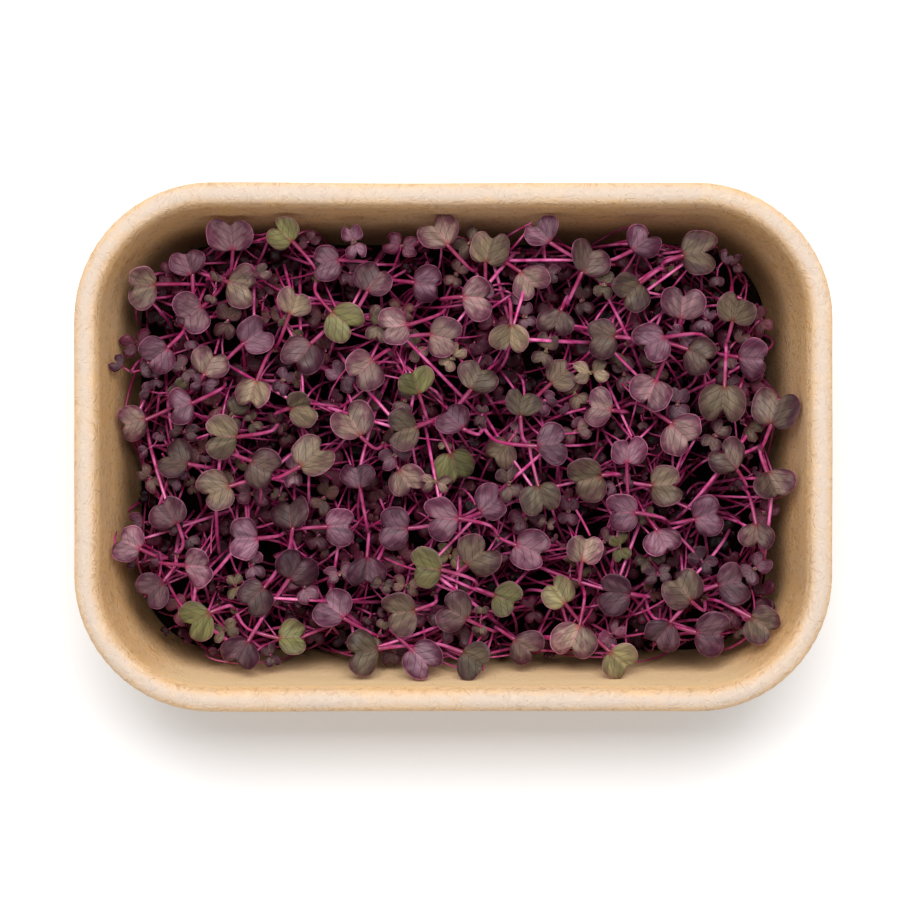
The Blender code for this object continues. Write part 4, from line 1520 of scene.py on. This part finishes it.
def heads_tree():
    """Seedling heads of several kinds, one on each point, with the point's turn and size."""
    inputs = {"Heads": "Collection", "Leaf material": "Material", "Stem material": "Material"}
    wires, given = start_tree("Heads on points", inputs)
    pieces = wires.node("GeometryNodeCollectionInfo", {
        "Collection": given["Heads"], "Separate Children": True, "Reset Children": True,
    })
    copies = wires.node("GeometryNodeInstanceOnPoints", {
        "Points": given["Geometry"],
        "Instance": pieces.outputs[0],
        "Pick Instance": True,
        "Instance Index": wires.named("head_kind", "INT"),
        "Rotation": wires.named("head_turn", "FLOAT_VECTOR"),
        "Scale": wires.named("head_size", "FLOAT"),
    })
    return finish_tree(wires, copies.outputs[0], given["Leaf material"], given["Stem material"])


def stems_tree():
    """Round stems along paths, as thick as the paths' points say."""
    wires, given = start_tree("Stems along paths", {"Sides": "Int", "Stem material": "Material"})
    circle = wires.node("GeometryNodeCurvePrimitiveCircle", {"Resolution": given["Sides"], "Radius": 1.0})
    swept = wires.node("GeometryNodeCurveToMesh", {
        "Curve": wires.node("GeometryNodeMeshToCurve", {"Mesh": given["Geometry"]}).outputs[0],
        "Scale": wires.named("stem_radius", "FLOAT"),
        "Profile Curve": circle.outputs[0],
        "Fill Caps": True,
    })
    return finish_tree(wires, swept.outputs[0], given["Stem material"])


def crumbs_tree():
    """Crumbs scattered over a surface, each with its own turn and size."""
    wires, given = start_tree("Crumbs on the bed", {
        "Crumb": "Object", "Spacing": "Float", "Density": "Float", "Least size": "Float",
        "Most size": "Float", "Seed": "Int", "Material": "Material",
    })
    seed = given["Seed"]
    spread = wires.node("GeometryNodeDistributePointsOnFaces", distribute_method="POISSON")
    wires.fill(spread, {
        "Mesh": given["Geometry"], "Distance Min": given["Spacing"], "Density Max": given["Density"],
        "Seed": seed,
    })
    crumb = wires.node("GeometryNodeObjectInfo", {"Object": given["Crumb"]})
    copies = wires.node("GeometryNodeInstanceOnPoints", {
        "Points": spread.outputs["Points"],
        "Instance": crumb.outputs["Geometry"],
        "Rotation": wires.random("FLOAT_VECTOR", (0.0, 0.0, 0.0), (math.pi, math.pi, 2 * math.pi), seed),
        "Scale": wires.random("FLOAT", given["Least size"], given["Most size"], seed),
    })
    return finish_tree(wires, copies.outputs[0], given["Material"])


def grown_by(tree, name, source, values):
    """A plain mesh object of what a tree makes from a source object, which is removed."""
    step = source.modifiers.new("Grow", "NODES")
    step.node_group = tree
    for item in tree.interface.items_tree:
        if item.item_type == "SOCKET" and item.in_out == "INPUT" and item.name in values:
            step[item.identifier] = values[item.name]
    bpy.context.view_layer.update()
    shape = source.evaluated_get(bpy.context.evaluated_depsgraph_get())
    mesh = bpy.data.meshes.new_from_object(shape)
    mesh.name = name
    mesh.shade_smooth()
    source.modifiers.clear()
    bpy.data.objects.remove(source, do_unlink=True)
    return add_object(name, mesh)


# Pieces


def leaf_material():
    return bpy.data.materials.get("Seed leaf") or make_leaf_material(bpy.context.scene.microgreens_leaf)


def stem_material():
    return bpy.data.materials.get("Magenta stem") or make_stem_material(bpy.context.scene.microgreens_stem)


def shared_groups():
    """The node groups that several materials use, built once."""
    if "Curled fibres" not in bpy.data.node_groups:
        make_fibre_group()
        make_mottle_group()
        make_shade_group()


def add_object(name, data):
    """A new object in the scene."""
    thing = bpy.data.objects.new(name, data)
    bpy.context.scene.collection.objects.link(thing)
    return thing


def add_mesh(name, points, faces=(), edges=(), materials=()):
    """A new object with a smooth mesh of its own."""
    mesh = bpy.data.meshes.new(name)
    mesh.from_pydata([tuple(point) for point in points], edges, faces)
    for material in materials:
        mesh.materials.append(material)
    mesh.shade_smooth()
    return add_object(name, mesh)


def set_points(thing, label, kind, values):
    """A named value on each point of an object's mesh."""
    layer = thing.data.attributes.new(label, kind, "POINT")
    if kind == "FLOAT_VECTOR":
        layer.data.foreach_set("vector", [number for value in values for number in value])
    else:
        layer.data.foreach_set("value", values)


def settle(thing, slot, *nodes):
    """The piece rides on the body and stands for the nodes, whose solids it hides; the slot is not used."""
    if nodes:
        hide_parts(*nodes)
    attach(thing, BODY)


def make_tray(look):
    section = tray_section()
    rings = [rim_outline(inset, height, look, share) for inset, height, share in section]
    tray = add_mesh("kraft_tray", *lofted(rings), materials=[make_kraft_material(look)])
    outermost = min(range(len(section)), key=lambda index: section[index][0])
    inward = []
    for index, (inset, _, _) in enumerate(section):
        inward += [(inset if index > outermost else 0.0, 0.0, 0.0)] * len(rings[index])
    set_points(tray, "inward", "FLOAT_VECTOR", inward)
    tray.data.set_sharp_from_angle(angle=SHARP_ANGLE)
    settle(tray, "kraft_fibre", "tray")


def make_bed():
    bed = add_mesh("coir_bed", *bed_mesh(), materials=[make_coir_material()])
    settle(bed, "coir", "growing_medium")


def make_bands(tufts):
    """One piece for each band of six tufts."""
    for start in range(0, TUFTS, TUFTS_PER_BAND):
        growth = Growth()
        names = []
        for index in range(start, start + TUFTS_PER_BAND):
            plug, seedlings = tufts[index]
            draw = random.Random(SEED * 3000 + index)
            names.append(f"tuft_{index + 1:02d}")
            for seedling in seedlings:
                fine_seedling(growth, seedling, draw, seedling_hue(plug, draw), draw.random())
        settle(growth.make_object(f"seedlings_band_{start // TUFTS_PER_BAND + 1}"), "seedling", *names)


def seedling_head(draw, kind):
    """The head of a small seedling at the origin: two small leaves on short stalks, and a bud."""
    growth = Growth()
    look = (0.0, 0.0, 0.0)
    turn = draw.uniform(0, math.pi)
    stalk = HEAD_STALKS[kind % len(HEAD_STALKS)]
    for side in range(2):
        heading = turn + side * math.pi + draw.uniform(-0.35, 0.35)
        width = YOUNG_LEAF_WIDTH * draw.uniform(0.85, 1.15)
        way = Vector((math.cos(heading), math.sin(heading), 0))
        base = way * stalk + Vector((0, 0, 0.4 * stalk))
        centre = base + way * LEAF_MIDDLE * width
        place = leaf_place(centre, heading, draw.uniform(-0.1, 0.55), draw.uniform(-0.3, 0.3), width)
        leaf = {"place": place, "width": width, "cup": draw.uniform(-0.02, 0.14)}
        seed_leaf(growth, leaf, draw, look, 0)
        if stalk > 0.001:
            path = [Vector((0, 0, -0.0004)), base * 0.6, place.translation]
            growth.add_stem(path, [0.0003] * 3, 4, look, (0.8, 1.1))
    true_leaf_bud(growth, draw, Vector((0, 0, 0.0003)), draw.uniform(0.0007, 0.0013), 0.0)
    head = growth.make_object(f"head_{kind:02d}")
    head.data.attributes.remove(head.data.attributes["look"])
    return head


def leaf_middle(leaf):
    """The middle of a leaf's blade."""
    return leaf["place"] @ Vector((0, LEAF_MIDDLE * leaf["width"], 0))


def undergrowth_places(look, tufts):
    """Heads of small seedlings as (place, size): first the gaps under the canopy, then its shade."""
    draw = random.Random(look.seed)
    leaves = [leaf for _, seedlings in tufts for seedling in seedlings for leaf in seedling["leaves"]]
    taken = [(leaf_middle(leaf).xy, 0.3 * leaf["width"]) for leaf in leaves]
    found = []
    for number, heights in ((look.upper, UPPER_HEIGHTS), (look.lower, LOWER_HEIGHTS)):
        for _ in range(number):
            best = None
            best_gap = -1.0
            for _ in range(UNDERGROWTH_CHOICES):
                height = draw.uniform(*heights)
                size = draw.uniform(*HEAD_SIZES)
                place = anywhere(draw) + Vector((0, 0, height))
                least_inset = wall_inset(height) + HEAD_REACH * YOUNG_LEAF_WIDTH * size + HEAD_GAP
                gap = min((place.xy - centre).length - radius for centre, radius in taken)
                if inset_of(place) > least_inset and gap > best_gap:
                    best = (place, size)
                    best_gap = gap
            if best:
                found.append(best)
                taken.append((best[0].xy, 0.25 * YOUNG_LEAF_WIDTH * best[1]))
    return found


def stray(draw, spread):
    """A level offset of about the spread."""
    return Vector((draw.gauss(0, 1), draw.gauss(0, 1), 0)) * spread


def foot_under(place):
    """Where a stem leaves the bed: straight under a place, and off the wall."""
    foot = pulled_in(place, wall_inset(MEDIUM_TOP) + FOOT_GAP)
    return Vector((foot.x, foot.y, MEDIUM_TOP - FOOT_SINK))


def undergrowth_paths(look, tufts, places):
    """Stems as (path, radius, darkest tone): to each small head, and to below large leaves."""
    draw = random.Random(look.seed + 2)
    paths = []
    for place, size in places:
        root = foot_under(place + stray(draw, HEAD_LEAN))
        middle = root.lerp(place, 0.25) + stray(draw, HEAD_BEND)
        middle.z = root.z * (1 - STEM_BEND) + place.z * STEM_BEND
        radius = HEAD_STEM_RADIUS + HEAD_STEM_GROWTH * size
        paths.append((bent(root, middle, place, UNDERGROWTH_STEPS), radius, 1.0))
    leaves = [leaf for _, seedlings in tufts for leaf in seedlings[0]["leaves"]]
    for _ in range(look.leaning):
        top = leaf_middle(draw.choice(leaves))
        top += any_way(draw) * draw.uniform(0.0, LEAN_SPREAD) - Vector((0, 0, draw.uniform(*LEAN_DROP)))
        root = foot_under(top + any_way(draw) * draw.uniform(*LEAN_REACH))
        middle = root.lerp(top, 0.42) + stray(draw, LEAN_BEND)
        middle.z = root.z + draw.uniform(*LEAN_RISE) * (top.z - root.z)
        paths.append((bent(root, middle, top, UNDERGROWTH_STEPS), draw.uniform(*LEAN_RADII), 1.0))
    for _ in range(look.trailing):
        top = leaf_middle(draw.choice(leaves))
        top.z -= draw.uniform(*TRAIL_DROP)
        root = foot_under(top + any_way(draw) * draw.uniform(*TRAIL_REACH))
        middle = root.lerp(top, 0.22) + any_way(draw) * draw.uniform(0.0, TRAIL_SWAY)
        middle.z = top.z + TRAIL_ARCH
        paths.append((bent(root, middle, top, UNDERGROWTH_STEPS), draw.uniform(*TRAIL_RADII), TRAIL_TONE))
    return paths


def make_undergrowth(look, tufts):
    """Small seedlings under the canopy: their heads, and their stems along paths from the bed."""
    places = undergrowth_places(look, tufts)
    draw = random.Random(look.seed + 1)
    looks = []
    for place, _ in places:
        looks.append((0.7 * seedling_hue(place, draw), draw.uniform(0.0, 0.5), draw.random()))
    kinds = [draw.randrange(HEAD_KINDS) for _ in places]
    turns = []
    for _ in places:
        turns.append((draw.uniform(*HEAD_TILT), draw.uniform(*HEAD_TILT), draw.uniform(0, 2 * math.pi)))
    source = add_mesh("head_points", [place for place, _ in places])
    set_points(source, "head_kind", "INT", kinds)
    set_points(source, "head_turn", "FLOAT_VECTOR", turns)
    set_points(source, "head_size", "FLOAT", [size for _, size in places])
    set_points(source, "look", "FLOAT_VECTOR", looks)
    heads = bpy.data.collections.new("heads")
    for kind in range(HEAD_KINDS):
        head = seedling_head(draw, kind)
        bpy.context.scene.collection.objects.unlink(head)
        heads.objects.link(head)
    values = {"Heads": heads, "Leaf material": leaf_material(), "Stem material": stem_material()}
    settle(grown_by(heads_tree(), "undergrowth_leaves", source, values), "seedling")
    for head in list(heads.objects):
        bpy.data.objects.remove(head, do_unlink=True)
    bpy.data.collections.remove(heads)

    points, edges, radii, path_looks, along = [], [], [], [], []
    for number, (path, radius, darkest) in enumerate(undergrowth_paths(look, tufts, places)):
        if number < len(looks):
            path_look = looks[number]
        else:
            path_look = (draw.random() * 0.3, draw.random() * darkest, draw.random())
        path_looks += [path_look] * len(path)
        edges += [(len(points) + step, len(points) + step + 1) for step in range(UNDERGROWTH_STEPS)]
        points += path
        for step in range(len(path)):
            radii.append(radius * (1 - 0.25 * step / UNDERGROWTH_STEPS))
            along.append((0.0, 0.85 * step / UNDERGROWTH_STEPS, 0.0))
    source = add_mesh("stem_paths", points, edges=edges)
    set_points(source, "stem_radius", "FLOAT", radii)
    set_points(source, "look", "FLOAT_VECTOR", path_looks)
    set_points(source, "blade_at", "FLOAT_VECTOR", along)
    values = {"Sides": 5, "Stem material": stem_material()}
    settle(grown_by(stems_tree(), "undergrowth_stems", source, values), "seedling")


def make_crumbs(look):
    """Crumbs of coir over the bed."""
    coir = bpy.data.materials["Damp coir with painted shade"]
    outline = bed_outline(wall_inset(MEDIUM_TOP) + 0.0012, MEDIUM_TOP, 0.0)
    ground = add_mesh("ground", outline, [list(range(len(outline)))])
    shape = bmesh.new()
    bmesh.ops.create_icosphere(shape, subdivisions=1, radius=CRUMB_RADIUS)
    for vert in shape.verts:
        vert.co *= 1 + 0.6 * noise.noise(vert.co * 1900.0)
        vert.co.z *= 0.7
    mesh = bpy.data.meshes.new("crumb")
    shape.to_mesh(mesh)
    shape.free()
    crumb = add_object("crumb", mesh)
    least_size, most_size = CRUMB_SIZES
    values = {
        "Crumb": crumb, "Spacing": look.crumb_spacing, "Density": CRUMB_DENSITY, "Least size": least_size,
        "Most size": most_size, "Seed": look.seed, "Material": coir,
    }
    settle(grown_by(crumbs_tree(), "coir_crumbs", ground, values), "coir")
    bpy.data.objects.remove(crumb, do_unlink=True)


def make_stage(look):
    """The floor, a soft key light behind the tray, an even sky, and the camera straight above."""
    scene = bpy.context.scene
    scene.view_settings.view_transform = "Standard"
    material, wires, shader = new_material("Pale floor")
    wires.fill(shader, {
        "Base Color": (0.83, 0.83, 0.83),
        "Emission Color": (1.0, 1.0, 1.0),
        "Emission Strength": 0.14,
        "Roughness": 0.9,
    })
    corners = [(side_x * FLOOR_REACH, side_y * FLOOR_REACH, -FLOOR_DROP) for side_x, side_y in QUARTERS]
    add_mesh("floor", corners, [(0, 1, 2, 3)], materials=[material])
    world = bpy.data.worlds.new("Soft sky")
    world.use_nodes = True
    background = world.node_tree.nodes["Background"]
    Wiring(world.node_tree).fill(background, {"Color": (1.0, 1.0, 1.0), "Strength": look.sky})
    scene.world = world
    lamp = bpy.data.lights.new("key", "AREA")
    lamp.shape = "RECTANGLE"
    lamp.size, lamp.size_y = LAMP_SIZE
    lamp.energy = look.key_power
    key = add_object("key", lamp)
    key.location = LAMP_PLACE
    key.rotation_euler = (Vector(LAMP_TARGET) - key.location).to_track_quat("-Z", "Y").to_euler()
    lens = bpy.data.cameras.new("camera")
    lens.sensor_width = 36.0
    lens.lens = lens.sensor_width * look.camera_height / VIEW_WIDTH
    scene.camera = add_object("camera", lens)
    scene.camera.location = (*VIEW_CENTRE, TRAY_HEIGHT - RIM_ROLL_RADIUS + look.camera_height)


# Add-on


class PieceOperator:
    """What every operator does: the shared node groups first, then its own pieces."""

    def execute(self, context):
        shared_groups()
        self.make(context.scene)
        return {"FINISHED"}


class MICROGREENS_OT_tray(PieceOperator, bpy.types.Operator):
    """Make the kraft tray around its solid"""

    bl_idname = "microgreens.tray"
    bl_label = "Kraft tray"

    def make(self, scene):
        make_tray(scene.microgreens_tray)


class MICROGREENS_OT_bed(PieceOperator, bpy.types.Operator):
    """Make the coir bed around the growing medium's solid"""

    bl_idname = "microgreens.bed"
    bl_label = "Coir bed"

    def make(self, scene):
        make_bed()
        make_crumbs(scene.microgreens_undergrowth)


class MICROGREENS_OT_seedlings(PieceOperator, bpy.types.Operator):
    """Make the fine seedlings, a piece for each band of tufts"""

    bl_idname = "microgreens.seedlings"
    bl_label = "Seedlings"

    def make(self, scene):
        make_bands(planted_tufts())


class MICROGREENS_OT_undergrowth(PieceOperator, bpy.types.Operator):
    """Scatter small seedlings under the canopy"""

    bl_idname = "microgreens.undergrowth"
    bl_label = "Undergrowth"

    def make(self, scene):
        make_undergrowth(scene.microgreens_undergrowth, planted_tufts())


class MICROGREENS_OT_stage(PieceOperator, bpy.types.Operator):
    """Set up the floor, the light and the camera"""

    bl_idname = "microgreens.stage"
    bl_label = "Stage"

    def make(self, scene):
        make_stage(scene.microgreens_stage)


OPERATORS = (
    MICROGREENS_OT_tray,
    MICROGREENS_OT_bed,
    MICROGREENS_OT_seedlings,
    MICROGREENS_OT_undergrowth,
    MICROGREENS_OT_stage,
)
SETTINGS = {
    "microgreens_tray": TrayLook,
    "microgreens_leaf": LeafLook,
    "microgreens_stem": StemLook,
    "microgreens_undergrowth": UndergrowthLook,
    "microgreens_stage": StageLook,
}


class MICROGREENS_PT_panel(bpy.types.Panel):
    """The tray's pieces and their settings"""

    bl_label = "Red microgreens tray"
    bl_space_type = "VIEW_3D"
    bl_region_type = "UI"
    bl_category = "Microgreens"

    def draw(self, context):
        for operator in OPERATORS:
            self.layout.operator(operator.bl_idname)
        for name, group in SETTINGS.items():
            box = self.layout.box()
            for label in group.__annotations__:
                box.prop(getattr(context.scene, name), label)


def register():
    for kind in (*SETTINGS.values(), *OPERATORS, MICROGREENS_PT_panel):
        bpy.utils.register_class(kind)
    for name, group in SETTINGS.items():
        setattr(bpy.types.Scene, name, PointerProperty(type=group))


def unregister():
    for name in SETTINGS:
        delattr(bpy.types.Scene, name)
    for kind in reversed((*SETTINGS.values(), *OPERATORS, MICROGREENS_PT_panel)):
        bpy.utils.unregister_class(kind)


def main():
    register()
    bpy.ops.microgreens.tray()
    bpy.ops.microgreens.bed()
    bpy.ops.microgreens.seedlings()
    bpy.ops.microgreens.undergrowth()
    bpy.ops.microgreens.stage()


if __name__ == "__main__":
    main()
